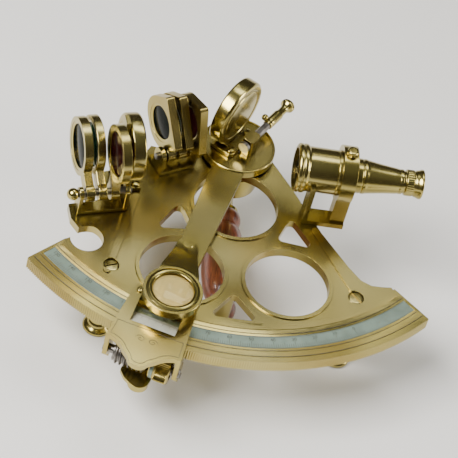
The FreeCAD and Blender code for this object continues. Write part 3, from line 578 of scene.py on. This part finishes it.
def arc_engraving():
    """Degree lines, numerals, the scale's two border lines and the three lines beside them."""
    height = SCALE_TOP + LINE_LIFT
    outer = SCALE_OUTER - SCALE_MARGIN
    lines = []
    for reading in range(-4, LAST_READING + 1):
        direction = limb_direction(SCALE_ZERO - reading * SCALE_TURN)
        length = 2.5 if reading % 10 == 0 else 2.0 if reading % 5 == 0 else 1.4
        lines.append(tick(direction, outer - length, outer, height))
    bars("arc_degree_lines", lines, WAX, "frame")
    for name, radius in (("inner", SCALE_INNER + 0.25), ("outer", outer)):
        arc_line("arc_border_" + name, SCALE_ENDS, radius, height, 0.045)
    limb_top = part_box("frame_plate")[1][2] + 0.01 * MM
    for name, radius, half in (("inner", 80.3, 0.07), ("outer", 87.2, 0.06), ("rack", 89.6, 0.07)):
        arc_line("limb_line_" + name, LIMB_LINE_ENDS, radius, limb_top, half)
    numeral_meshes = []
    for reading in range(0, LAST_READING, 10):
        direction = limb_direction(SCALE_ZERO - reading * SCALE_TURN)
        centre = direction * (SCALE_INNER + 1.35) * MM + Z * (height - 0.01 * MM)
        numeral_meshes.append((str(reading), centre, direction))
    numerals("arc_numerals", numeral_meshes, 1.75, "frame")


def numerals(name, places, size, body):
    """Engraved numbers, their tops towards the pivot, joined in one mesh."""
    shape = bmesh.new()
    for text, centre, direction in places:
        curve = bpy.data.curves.new(name + text, "FONT")
        curve.body = text
        curve.size = size * MM
        curve.extrude = LINE_HALF_HEIGHT
        curve.align_x = "CENTER"
        curve.align_y = "CENTER"
        holder = linked(name + text, curve)
        up = -direction
        across = up.cross(Z)
        turn = Matrix((across, up, Z)).transposed().to_4x4()
        mesh = evaluated_mesh(holder)
        mesh.transform(Matrix.Translation(centre) @ turn)
        shape.from_mesh(mesh)
        bpy.data.objects.remove(holder)
        bpy.data.curves.remove(curve)
        bpy.data.meshes.remove(mesh)
    add_object(name, mesh_of(shape, name), WAX, body)


def leg_beads():
    """Turned legs with beads and a thin foot, instead of the plain turned solids."""
    for node in ("leg_left", "leg_right"):
        low, high = map(Vector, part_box(node))
        centre = (low + high) / 2
        foot = (high.x - low.x) / 2 / MM
        tall = (high.z - low.z) / MM
        profile = [(0, 0), (foot, 0), (foot, 1.0), (foot - 0.6, 1.7), (3.4, 2.5), (3.4, 3.2), (2.7, 4.0),
                   (2.4, 7.0), (2.5, 11.0), (3.3, 12.4), (3.7, 13.6), (3.7, 14.4), (3.3, 15.6), (2.5, 17.0),
                   (2.4, 21.0), (2.7, 24.4), (3.4, 25.2), (3.4, 25.9), (4.2, 26.6), (4.2, tall), (0, tall)]
        piece = turned(node + "_turned", rounded(profile, 0.5), Vector((centre.x, centre.y, low.z)), Z,
                       TURNED_Z, "frame", 64)
        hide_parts(node)
    low, high = map(Vector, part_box("leg_apex"))
    tall = (high.z - low.z) / MM
    profile = [(0, 0), (5, 0), (5, 1.0), (4.4, 1.7), (3.5, 2.5), (3.5, 3.2), (2.9, 4.0), (2.8, 5.6),
               (3.4, 7.4), (3.4, 15.2), (5.4, 16.2), (8.2, 17.4), (9.0, 18.4),
               (9.6, 19.0), (9.6, tall - 2.0), (9.2, tall - 1.6), (9.6, tall - 1.2), (9.6, tall),
               (7.4, tall), (7.4, tall - 10.0), (0, tall - 10.0)]
    piece = turned("leg_apex_turned", rounded(profile, 0.5), Vector((0, 0, low.z)), Z, TURNED_Z,
                   "frame", 80)
    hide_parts("leg_apex")


GRIP_FROM = Vector((0.3, -10.0, 0)) * MM
GRIP_TO = Vector((-1.2, -59.6, 0)) * MM
GRIP_NECK, GRIP_BEAD_LENGTH = 5.1, 7.9


def wooden_grip():
    """Turned grip: a bead and a groove at each end of a long swell."""
    low, high = map(Vector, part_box("handle_grip"))
    axis = (GRIP_TO - GRIP_FROM).normalized()
    start = GRIP_FROM + Z * (low.z + high.z) / 2
    length = (high.y - low.y) / MM / -axis.y - 0.85
    swell = (high.z - low.z) / 2 / MM - 0.02
    bead = [(0, 0), (3.9, 0), (4.3, 0.3), (5.0, 1.3), (5.35, 2.6), (5.35, 3.8), (5.0, 5.0), (4.55, 5.9),
            (4.4, 6.5), (4.4, 6.9), (4.6, 7.2), (GRIP_NECK, GRIP_BEAD_LENGTH)]
    profile = list(bead)
    for step in range(1, 24):
        share = step / 24
        rise = sin(pi * share) ** 0.62
        profile.append((GRIP_NECK + (swell - GRIP_NECK) * rise,
                        GRIP_BEAD_LENGTH + (length - 2 * GRIP_BEAD_LENGTH) * share))
    profile += [(r, length - h) for r, h in reversed(bead)]
    wood = turned("wooden_grip", profile, start, axis, rosewood(axis), "frame", 96)
    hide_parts("handle_grip")


def frame_details():
    softened("frame_plate", CAST, 0.28, 3, 30, LIMB_RADIUS - 0.9 * MM)
    softened("arc_scale", SILVER, 0.06, 2, 40)
    softened("handle_posts", TURNED_Z, 0.3)
    softened("pivot_bush", TURNED_Z, 0.15)
    softened("pivot_shaft", STEEL, 0.2)
    arc_engraving()
    leg_beads()
    wooden_grip()
    low, high = map(Vector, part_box("leg_screws"))
    radius = (high.y - low.y) / 2
    places = [Vector((x, (low.y + high.y) / 2, high.z - 0.8 * MM))
              for x in (low.x + radius, high.x - radius)]
    heads = screw_heads("leg_screw_head", places, radius / MM, 0.8, "frame", 0.4, 1.9, 0.55)
    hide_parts("leg_screws")


# Telescope --------------------------
def telescope():
    low, high = map(Vector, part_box("telescope_barrel"))
    origin = Vector((low.x, SCOPE_AXIS_Y, OPTIC_HEIGHT))
    length = (high.x - low.x) / MM
    profile = [(6.6, 0), (7.6, 0), (8.1, 0.25), (8.35, 0.7), (8.35, 1.5), (8.1, 1.75), (8.1, 2.0),
               (8.35, 2.25), (8.35, 3.2), (8.0, 3.7), (7.75, 4.0), (7.7, 5.2),
               (7.7, 13.7), (7.62, 13.8), (7.62, 14.0), (7.75, 14.1), (7.75, length - 0.3),
               (7.45, length), (6.05, length), (6.05, length - 5.6), (6.6, length - 5.6), (6.6, 0)]
    barrel = turned("telescope_barrel_turned", rounded(profile, 0.22), origin, X, TURNED_X,
                    "frame", 96)
    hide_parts("telescope_barrel")
    lens_low, lens_high = map(Vector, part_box("objective_lens"))
    lens_at = Vector((lens_low.x, SCOPE_AXIS_Y, OPTIC_HEIGHT))
    radius = (lens_high.z - lens_low.z) / 2 / MM - 0.04
    bulge = [(radius * sin(pi / 2 * t / 8), 0.55 * (1 - cos(pi / 2 * t / 8))) for t in range(9)]
    back = [(r, 2.0 - h * 0.6) for r, h in reversed(bulge)]
    lens = turned("objective_glass", bulge + back, lens_at, X, LENS, "frame", 64)
    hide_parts("objective_lens")
    ring = [(5.6, -0.7), (6.55, -0.7), (6.55, -0.05), (5.6, -0.05), (5.6, -0.7)]
    turned("objective_retaining_ring", rounded(ring, 0.15), lens_at, X, TURNED_SMALL,
           "frame", 72)
    turned("barrel_lining", [(6.58, 4.2), (6.58, 10.2), (6.5, 10.2), (6.5, 4.2), (6.58, 4.2)],
           origin, X, BLACK, "frame", 64)

    draw_low, draw_high = map(Vector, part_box("telescope_draw_tube"))
    draw_at = Vector((draw_low.x, SCOPE_AXIS_Y, OPTIC_HEIGHT))
    span = (draw_high.x - draw_low.x) / MM
    outline = [(3.05, 0), (5.9, 0), (5.98, 0.3), (5.98, 11.4), (5.8, 11.6), (5.8, 11.9), (5.98, 12.1),
               (5.98, 12.9), (5.75, 13.6)]
    for step in range(1, 10):
        share = step / 10
        outline.append((5.75 - 1.45 * share - 0.1 * sin(pi * share), 13.6 + (span - 14.8) * share))
    outline += [(4.2, span - 1.2), (4.3, span - 0.9), (4.3, span), (3.05, span), (3.05, 0)]
    tube = turned("draw_tube_turned", rounded(outline, 0.15), draw_at, X, TURNED_X,
                  "draw_tube", 96)
    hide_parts("telescope_draw_tube")

    cup_low, cup_high = map(Vector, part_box("telescope_eye_cup"))
    cup_at = Vector((cup_low.x, SCOPE_AXIS_Y, OPTIC_HEIGHT))
    end = (cup_high.x - cup_low.x) / MM
    radius = (cup_high.z - cup_low.z) / 2 / MM
    outline = [(3.05, 0), (4.0, 0), (3.9, 0.4), (3.9, 0.8), (4.45, 1.1), (4.5, 1.4), (4.5, 3.6), (4.3, 3.8),
               (4.3, 4.1), (4.5, 4.4), (4.7, end - 1.7), (radius, end - 0.8), (radius, end - 0.25),
               (radius - 0.25, end), (4.3, end), (4.0, end - 0.3), (3.05, end - 1.5), (3.05, 0)]
    cup = turned("eye_cup_turned", rounded(outline, 0.15), cup_at, X, TURNED_X,
                 "draw_tube", 80, (1.3, 3.7, 40, 0.12))
    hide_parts("telescope_eye_cup")
    eye_low, eye_high = map(Vector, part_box("eyepiece_lens"))
    eye_at = Vector((eye_high.x, SCOPE_AXIS_Y, OPTIC_HEIGHT))
    eye_r = (eye_high.z - eye_low.z) / 2 / MM - 0.04
    glass = [(0, -1.2), (eye_r, -1.2), (eye_r, -0.35)]
    glass += [(eye_r * cos(pi / 2 * t / 7), -0.35 + 0.35 * sin(pi / 2 * t / 7)) for t in range(1, 7)]
    glass.append((0, 0))
    eye = turned("eyepiece_glass", glass, eye_at, X, LENS, "draw_tube", 48)
    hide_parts("eyepiece_lens")

    softened("telescope_bracket", SHEET, 0.25, 3)
    screw_low, screw_high = map(Vector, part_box("collar_screw"))
    at = Vector((middle("collar_screw").x, middle("collar_screw").y, screw_low.z))
    tall = (screw_high.z - screw_low.z) / MM
    profile = [(0, 0), (1.1, 0), (1.1, 1.1), (1.8, 1.1), (2.0, 1.4), (2.0, tall - 0.5), (1.7, tall - 0.1),
               (1.2, tall), (0, tall)]
    knob = turned("collar_thumb_screw", rounded(profile, 0.12), at, Z, TURNED_SMALL,
                  "frame", 96, (1.35, tall - 0.45, 24, 0.14))
    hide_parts("collar_screw")


# Index arm, clamp and micrometer ----
def on_arm(tangent, outward, height):
    """A place in the arm's own directions, in mm: along its tangent, outward from the pivot, up."""
    return ARM_TANGENT * tangent * MM + ARM_OUTWARD * outward * MM + Z * height


CLAMP_SIDE = -0.8         # the clamp's middle line beside the arm's, in mm
VERNIER_INNER = 84.6      # from the pivot to the sloping plate's foot
VERNIER_RUN, VERNIER_CLIMB = 6.9, 3.0
VERNIER_PITCH = 0.4
HOUSING_SCREW_SIDE, HOUSING_SCREW_OUT = 8.6, 78.3
DRUM_DIVISIONS = 60


def clamp_ornament():
    """Engraved border that follows the clamp's flanks, hollows and nose, and a pair of scrolls."""
    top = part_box("clamp_housing")[1][2] + 0.012 * MM
    half = [(11.2, 93.0), (11.6, 99.2), (9.9, 99.3), (8.1, 100.0), (6.2, 101.2), (4.9, 102.8)]
    nose_radius, nose_outward = 2.75, 104.3
    nose = [(nose_radius * cos(radians(angle)), nose_outward + nose_radius * sin(radians(angle)))
            for angle in range(10, 180, 20)]
    plan = [(-t, o) for t, o in half] + [(-t, o) for t, o in nose] + [(t, o) for t, o in reversed(half)]
    path = [on_arm(CLAMP_SIDE + tangent, outward, top) for tangent, outward in plan]
    tube_along("clamp_border_line", path + path[:1], 0.08 * MM, WAX, "arm")
    for side, hand in (("left", -1), ("right", 1)):
        scroll = []
        for step in range(70):
            turn = step / 69
            radius = 1.5 * (1 - turn) + 0.2
            angle = 2.8 * pi * turn
            tangent = CLAMP_SIDE + hand * (2.1 + radius * cos(angle))
            scroll.append(on_arm(tangent, 97.2 - 0.8 * radius * sin(angle), top))
        tube_along("clamp_scroll_" + side, scroll, 0.07 * MM, WAX, "arm")


def vernier_lines():
    """Vernier divisions on the sloping plate, at its edge beside the arc's scale."""
    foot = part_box("vernier_scale")[1][2] - VERNIER_CLIMB * MM
    steepness = VERNIER_CLIMB / VERNIER_RUN
    slope = (ARM_OUTWARD + Z * steepness).normalized()
    up = ARM_TANGENT.cross(slope)
    up = up if up.z > 0 else -up
    lines = []
    for step in range(-18, 19):
        length = 2.6 if step % 6 == 0 else 1.5
        start = on_arm(CLAMP_SIDE + step * VERNIER_PITCH, VERNIER_INNER + SCALE_MARGIN,
                       foot + SCALE_MARGIN * steepness * MM)
        along = slope * length / 2 * MM
        lines.append((start + along + up * LINE_LIFT, along, ARM_TANGENT * LINE_HALF_WIDTH,
                      up * LINE_HALF_HEIGHT))
    bars("vernier_lines", lines, WAX, "arm")


def worm_thread():
    """Worm with a true helical thread, and the plain shaft that carries it."""
    place = joint_place("micrometer_turn")
    start, end, pitch, core, crest = -10.0, 1.2, 1.5, 3.3, 4.18
    around, along = 48, 150
    shape = bmesh.new()
    turn = basis(ARM_TANGENT)
    rows = []
    shaft = [(-14.0, 1.25), (-13.8, 1.48), (-10.1, 1.48)]
    tail = [(1.3, 1.48), (12.2, 1.48), (12.4, 1.25)]
    stations = [(h, lambda angle, r=r: r) for h, r in shaft]
    for step in range(along + 1):
        h = start + (end - start) * step / along
        fade = min(1.0, (h - start) / 0.8, (end - h) / 0.8)

        def radius(angle, h=h, fade=fade):
            phase = (h / pitch - angle / (2 * pi)) % 1.0
            rise = min(1.0, max(0.0, (0.5 - abs(phase - 0.5)) * 3.4 - 0.35))
            return core + (crest - core) * rise * fade
        stations.append((h, radius))
    stations += [(h, lambda angle, r=r: r) for h, r in tail]
    for h, radius in stations:
        row = []
        for i in range(around):
            angle = 2 * pi * i / around
            point = Vector((radius(angle) * cos(angle), radius(angle) * sin(angle), h)) * MM
            row.append(shape.verts.new(place + turn @ point))
        rows.append(row)
    for low, high in zip(rows, rows[1:]):
        for i in range(around):
            j = (i + 1) % around
            shape.faces.new((low[i], low[j], high[j], high[i]))
    shape.faces.new(list(reversed(rows[0])))
    shape.faces.new(rows[-1])
    bmesh.ops.recalc_face_normals(shape, faces=shape.faces)
    mesh = mesh_of(shape, "worm_helix")
    smooth(mesh, 50)
    piece = add_object("worm_helix", mesh, STEEL, "micrometer")
    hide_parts("worm")


def drum():
    """Knurled drum with a plain silvered band and its divisions."""
    place = joint_place("micrometer_turn")
    band_start, band_radius = 2.95, 4.66
    profile = [(1.55, 2.5), (4.2, 2.5), (4.6, 2.9), (4.6, 4.2), (4.8, 4.35), (4.8, 4.7), (4.95, 4.9),
               (5.0, 5.1), (5.0, 8.7), (4.9, 9.1), (4.5, 9.5), (3.2, 9.6), (3.0, 9.4), (1.55, 9.4),
               (1.55, 2.5)]
    piece = turned("drum_knurled", rounded(profile, 0.2), place, ARM_TANGENT, TURNED_SMALL,
                   "micrometer", 192, (4.9, 8.8, 48, 0.3))
    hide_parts("micrometer_drum")
    band = [(4.5, band_start), (band_radius, band_start), (band_radius, 4.15), (4.5, 4.15),
            (4.5, band_start)]
    turned("drum_silvered_band", band, place, ARM_TANGENT, SILVER, "micrometer", 96)
    marks = []
    for step in range(DRUM_DIVISIONS):
        angle = 2 * pi * step / DRUM_DIVISIONS
        out = ARM_OUTWARD * cos(angle) + Z * sin(angle)
        around = ARM_TANGENT.cross(out)
        length = 1.0 if step % 5 == 0 else 0.6
        centre = place + out * (band_radius + 0.01) * MM + ARM_TANGENT * (band_start + length / 2) * MM
        marks.append((centre, ARM_TANGENT * length / 2 * MM, around * 0.05 * MM, out * 0.015 * MM))
    bars("drum_divisions", marks, WAX, "micrometer")


def lever_spring():
    """Small spring wound on the release lever's pin, beside the lever."""
    place = joint_place("release_lever_squeeze")
    points = []
    turns, start, width, coil, steps = 5.5, -7.6, 3.0, 1.45, 16
    count = int(turns * steps)
    for step in range(count + 1):
        angle = -pi / 2 + 2 * pi * step / steps
        points.append(place + ARM_TANGENT * (start + width * step / count) * MM
                      + (ARM_OUTWARD * cos(angle) + Z * sin(angle)) * coil * MM)
    tube_along("lever_spring", points, 0.2 * MM, STEEL, "arm")


def arm_details():
    softened("index_arm", ARM, 0.3, 3)
    hub_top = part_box("index_arm")[1][2]
    rim = [(12.0, -0.05), (12.85, -0.05), (12.85, 0.3), (12.6, 0.5), (12.25, 0.5), (12.0, 0.3),
           (12.0, -0.05)]
    turned("arm_hub_rim", rounded(rim, 0.12), Z * hub_top, Z, CUP, "arm", 112)
    softened("clamp_housing", SHEET, 0.22, 3)
    # the vernier takes the silvering with the painted highlight
    softened("vernier_scale", SILVER_PAINTED_HIGHLIGHT, 0.1)
    softened("lever_pin", STEEL, 0.15)
    softened("release_lever", SHEET, 0.3, 3)
    clamp_ornament()
    vernier_lines()
    worm_thread()
    drum()
    lever_spring()
    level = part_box("housing_screws")[0][2]
    places = [on_arm(CLAMP_SIDE + tangent, HOUSING_SCREW_OUT, level)
              for tangent in (-HOUSING_SCREW_SIDE, HOUSING_SCREW_SIDE)]
    heads = screw_heads("housing_screw_head", places, 1.2, 0.65, "arm", 1.1, 1.0, 0.35)
    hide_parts("housing_screws")


# Magnifier --------------------------
def magnifier():
    softened("magnifier_arm", SHEET, 0.3, 3)
    low, high = map(Vector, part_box("magnifier_lens"))
    centre = (low + high) / 2
    radius = (high.x - low.x) / 2 / MM - 0.03
    base = Vector((centre.x, centre.y, low.z))
    edge, dome = 0.9, 1.8
    profile = [(0, 0), (radius, 0), (radius, edge)]
    profile += [(radius * cos(pi / 2 * t / 12), edge + dome * sin(pi / 2 * t / 12)) for t in range(1, 12)]
    profile.append((0, edge + dome))
    # the lens carries the painted golden glow
    lens = turned("magnifier_glass", profile, base, Z, MAGNIFIER_GLASS_PAINTED_GLOW, "magnifier", 72)
    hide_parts("magnifier_lens")
    ring_high = low.z + 2.4 * MM
    inner, outer = 7.28, 9.83
    bezel = [(inner - 0.5, 0), (outer - 1.2, 0), (outer - 1.0, 0.25), (inner + 0.5, 0.55),
             (inner - 0.35, 0.3), (inner - 0.5, 0)]
    turned("magnifier_bezel", rounded(bezel, 0.1), Vector((centre.x, centre.y, ring_high)), Z, CUP,
           "magnifier", 96)
    rivet_low, rivet_high = map(Vector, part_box("magnifier_rivet"))
    at = (rivet_low + rivet_high) / 2
    stem = [(0, 0), (1.15, 0), (1.15, 4.4), (1.75, 4.4), (1.8, 4.5), (1.7, 4.62), (0, 4.66)]
    rivet = turned("magnifier_rivet_domed", stem, Vector((at.x, at.y, rivet_low.z)), Z, SCREW,
                   "arm", 48)
    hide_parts("magnifier_rivet")


# Mirrors ----------------------------
INDEX_CUP_R, HORIZON_CUP_R = 12.2, 11.4
CUP_DEPTH = 5.0
HORIZON_TURN = 14         # the horizon mirror's facing, in degrees from the line of sight


def mirror(prefix, body, centre, facing, radius, depth):
    """Spun cup with a rolled rim, its glass, and three bent clips that hold the glass.
    centre is the middle of the cup's back."""
    profile = [(0, 0), (radius - 3.4, 0), (radius - 3.2, 0.25), (radius - 2.6, 0.25), (radius - 2.4, 0),
               (radius - 0.7, 0), (radius, 0.7), (radius, depth - 0.5), (radius - 0.3, depth),
               (radius - 1.1, depth), (radius - 1.4, depth - 0.35), (radius - 1.4, 2.0), (0, 2.0)]
    cup = turned(prefix + "_spun_cup", rounded(profile, 0.35), centre, facing, CUP,
                 body, 112)
    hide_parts(prefix + "_cup")
    glass_r = radius - 1.46
    disc = [(0, 2.02), (glass_r, 2.02), (glass_r, depth - 0.9), (glass_r - 0.4, depth - 0.52),
            (0, depth - 0.52)]
    glass = turned(prefix + "_silvered_disc", disc, centre, facing, MIRROR, body, 96)
    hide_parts(prefix + "_glass")
    side = Z.cross(facing).normalized()
    for index, angle in enumerate((90, 210, 330)):
        out = side * cos(radians(angle)) + Z * sin(radians(angle))
        around = facing.cross(out)
        at = centre + out * (radius - 2.0) * MM + facing * (depth - 0.28) * MM
        plate = (at, out * 1.1 * MM, around * 0.9 * MM, facing * 0.2 * MM)
        clip = bars("%s_clip_%d" % (prefix, index), [plate], SHEET, body)
        ease = clip.modifiers.new("eased_edges", "BEVEL")
        ease.width = 0.15 * MM
        ease.segments = 2


def index_mirror():
    centre = Vector((0, 0, OPTIC_HEIGHT)) + INDEX_FACING * 2.0 * MM
    mirror("index_mirror", "arm", centre, INDEX_FACING, INDEX_CUP_R, CUP_DEPTH)
    softened("index_mirror_foot", SHEET, 0.25, 3)
    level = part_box("index_foot_screws")[0][2]
    places = [MIRROR_PLANE * side * MM + INDEX_FACING * 0.2 * MM + Z * level for side in (-5.3, 5.3)]
    heads = screw_heads("index_foot_screw_head", places, 1.6, 0.9, "arm", 0.7, 1.3, 0.42)
    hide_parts("index_foot_screws")


def horizon_mirror():
    low, high = map(Vector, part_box("horizon_adjust_screws"))
    facing = Vector((cos(radians(HORIZON_TURN)), sin(radians(HORIZON_TURN)), 0))
    cup_middle = middle("horizon_mirror_cup")
    centre = Vector((cup_middle.x, cup_middle.y, OPTIC_HEIGHT)) - facing * CUP_DEPTH / 2 * MM
    mirror("horizon_mirror", "frame", centre, facing, HORIZON_CUP_R, CUP_DEPTH)
    softened("horizon_mirror_bracket", SHEET, 0.3, 3)
    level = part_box("horizon_foot_screws")[0][2]
    foot = middle("horizon_foot_screws")
    places = [Vector((foot.x, foot.y, level)) + Z.cross(facing) * side * MM for side in (-3.2, 3.2)]
    heads = screw_heads("horizon_foot_screw_head", places, 1.5, 0.9, "frame", 0.3, 1.7, 0.4)
    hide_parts("horizon_foot_screws")
    adjust = middle("horizon_adjust_screws")
    for index, height in enumerate((high.z - 2.0 * MM, low.z + 2.0 * MM)):
        at = Vector((adjust.x, adjust.y, height)) + facing * 1.0 * MM
        profile = [(0, 0), (1.75, 0), (2.0, 0.25), (2.0, 1.5), (1.7, 1.95), (0.5, 2.0), (0.5, 1.4),
                   (0, 1.4)]
        turned("horizon_adjust_knob_%d" % index, rounded(profile, 0.12), at, -facing,
                            TURNED_SMALL, "frame", 96, (0.2, 1.6, 22, 0.14))
    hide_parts("horizon_adjust_screws")


def adjuster():
    softened("adjuster_post", SHEET, 0.3, 3)
    softened("adjuster_stem", STEEL, 0.12)
    softened("adjuster_lock", TURNED_SMALL, 0.1)
    at = joint_place("index_mirror_adjuster_turn") + MIRROR_PLANE * 10.4 * MM
    profile = [(1.05, 0), (1.5, 0), (1.75, 0.4), (1.8, 0.9), (1.6, 1.5), (1.8, 2.1), (1.8, 7.2),
               (1.45, 8.4), (1.4, 9.4), (1.4, 10.6), (1.75, 11.7), (2.45, 12.5), (2.58, 12.8),
               (2.58, 13.6), (2.3, 14.1), (1.2, 14.18), (1.05, 13.9), (1.05, 0)]
    sleeve = turned("adjuster_sleeve_turned", rounded(profile, 0.2), at, MIRROR_PLANE, TURNED_SMALL,
                    "adjuster", 120, (12.6, 13.7, 30, 0.14))
    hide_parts("adjuster_sleeve")


# Shades -----------------------------
def shades():
    for node in ("horizon_shade_bracket", "index_shade_bracket"):
        softened(node, SHEET, 0.25, 3)
    for node in ("horizon_shade_rod", "index_shade_rod"):
        softened(node, STEEL, 0.2)
    softened("horizon_shade_nut", TURNED_SMALL, 0.12)
    for kind, axis in (("horizon", HORIZON_ROD), ("index", INDEX_ROD)):
        for number in (1, 2, 3):
            body = "%s_shade_%d" % (kind, number)
            softened("%s_shade_frame_%d" % (kind, number), SHEET, 0.35, 3)
            node = "%s_shade_glass_%d" % (kind, number)
            low, high = map(Vector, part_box(node))
            radius = ((high.z - low.z) / 2) / MM
            centre = (low + high) / 2
            profile = [(0, -0.72), (radius - 0.5, -0.62), (radius - 0.03, -0.35), (radius - 0.03, 0.35),
                       (radius - 0.5, 0.62), (0, 0.72)]
            glass = turned("%s_shade_lens_%d" % (kind, number), profile, centre, axis, SHADES[number],
                           body, 72)
            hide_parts(node)
            for side in (-1, 1):
                ring = [(radius - 0.9, 0.75), (radius + 0.15, 0.75), (radius + 0.15, 1.3),
                        (radius - 0.25, 1.3), (radius - 0.9, 0.9), (radius - 0.9, 0.75)]
                turned("%s_shade_%d_retainer_%s" % (kind, number, "near" if side < 0 else "far"),
                       [(r, h * side) for r, h in ring], centre, axis, CUP, body, 72)
    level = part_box("index_shade_screw")[0][2]
    at = middle("index_shade_screw")
    head = slotted_head("index_shade_screw_head", Vector((at.x, at.y, level)), Z, 1.6, 0.8, "frame", 0.9,
                        0.42)
    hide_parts("index_shade_screw")


# Studio -----------------------------
FLOOR_HALF = 3.0
FLOOR_HEIGHT = -0.0002    # just under the feet, so that the two don't share a plane


def area_light(name, place, target, size, power, colour=(1, 1, 1)):
    data = bpy.data.lights.new(name, "AREA")
    data.shape = "RECTANGLE"
    data.size, data.size_y = size
    data.energy = power
    data.color = colour
    light = linked(name, data)
    light.location = place
    light.rotation_euler = (Vector(target) - Vector(place)).to_track_quat("-Z", "Y").to_euler()


def studio():
    shape = bmesh.new()
    corners = [shape.verts.new((FLOOR_HALF * x, FLOOR_HALF * y, FLOOR_HEIGHT))
               for x, y in ((-1, -1), (1, -1), (1, 1), (-1, 1))]
    shape.faces.new(corners)
    floor_mesh = mesh_of(shape, "studio_floor")
    floor_mesh.materials.append(pale_floor())
    floor = linked("studio_floor", floor_mesh)
    world = bpy.data.worlds.new("studio_air")
    bpy.context.scene.world = world
    world.use_nodes = True
    tree = world.node_tree
    background = tree.nodes["Background"]
    coordinate = tree.nodes.new("ShaderNodeTexCoord")
    split = tree.nodes.new("ShaderNodeSeparateXYZ")
    ramp = tree.nodes.new("ShaderNodeValToRGB")
    stops = ((0.0, (0.085, 0.075, 0.062)), (0.55, (0.10, 0.092, 0.078)), (0.78, (0.15, 0.155, 0.125)),
             (1.0, (0.21, 0.22, 0.19)))
    while len(ramp.color_ramp.elements) < len(stops):
        ramp.color_ramp.elements.new(0.5)
    for element, (place, colour) in zip(ramp.color_ramp.elements, stops):
        element.position = place
        element.color = (*colour, 1)
    tree.links.new(coordinate.outputs["Generated"], split.inputs[0])
    tree.links.new(split.outputs["Z"], ramp.inputs[0])
    tree.links.new(ramp.outputs["Color"], background.inputs["Color"])
    background.inputs["Strength"].default_value = 0.8
    target = (0, -0.04, 0.03)
    area_light("key_softbox", (-0.45, -0.25, 0.70), target, (0.50, 0.40), 14.0, (1.0, 0.98, 0.95))
    area_light("top_softbox", (0.15, 0.30, 0.90), target, (0.55, 0.25), 2.0, (0.98, 0.99, 1.0))
    area_light("left_strip", (0.03, 0.74, 0.90), target, (0.07, 0.26), 0.12, (1.0, 0.99, 0.93))
    area_light("right_strip", (0.27, 0.66, 0.90), target, (0.08, 0.24), 0.12, (1.0, 0.99, 0.93))
    area_light("side_softbox", (0.70, -0.12, 0.32), target, (0.25, 0.45), 4.0, (1.0, 0.97, 0.92))


PIVOT_HEIGHT = 33.0 * MM
EYE_PLACE = Vector((-111.3, -579.3, 609.6)) * MM + Z * PIVOT_HEIGHT
EYE_RIGHT = Vector((0.9811, 0.0104, 0.1933))
EYE_BACK = Vector((-0.1378, -0.6636, 0.7353))
ZOOM = 1.72


def camera():
    """Stands where the picture was taken from, in the part's frame."""
    data = bpy.data.cameras.new("view")
    data.sensor_width = 36.0
    data.lens = 111.66 * ZOOM
    data.shift_x, data.shift_y = -0.0197 * ZOOM, -0.0175 * ZOOM
    data.clip_start = 0.01
    eye = linked("view", data)
    back = EYE_BACK.normalized()
    right = (EYE_RIGHT - back * EYE_RIGHT.dot(back)).normalized()
    up = back.cross(right)
    turn = Matrix((right, up, back)).transposed().to_4x4()
    eye.matrix_world = Matrix.Translation(EYE_PLACE) @ turn
    bpy.context.scene.camera = eye


frame_details()
telescope()
arm_details()
magnifier()
index_mirror()
horizon_mirror()
adjuster()
shades()
studio()
camera()
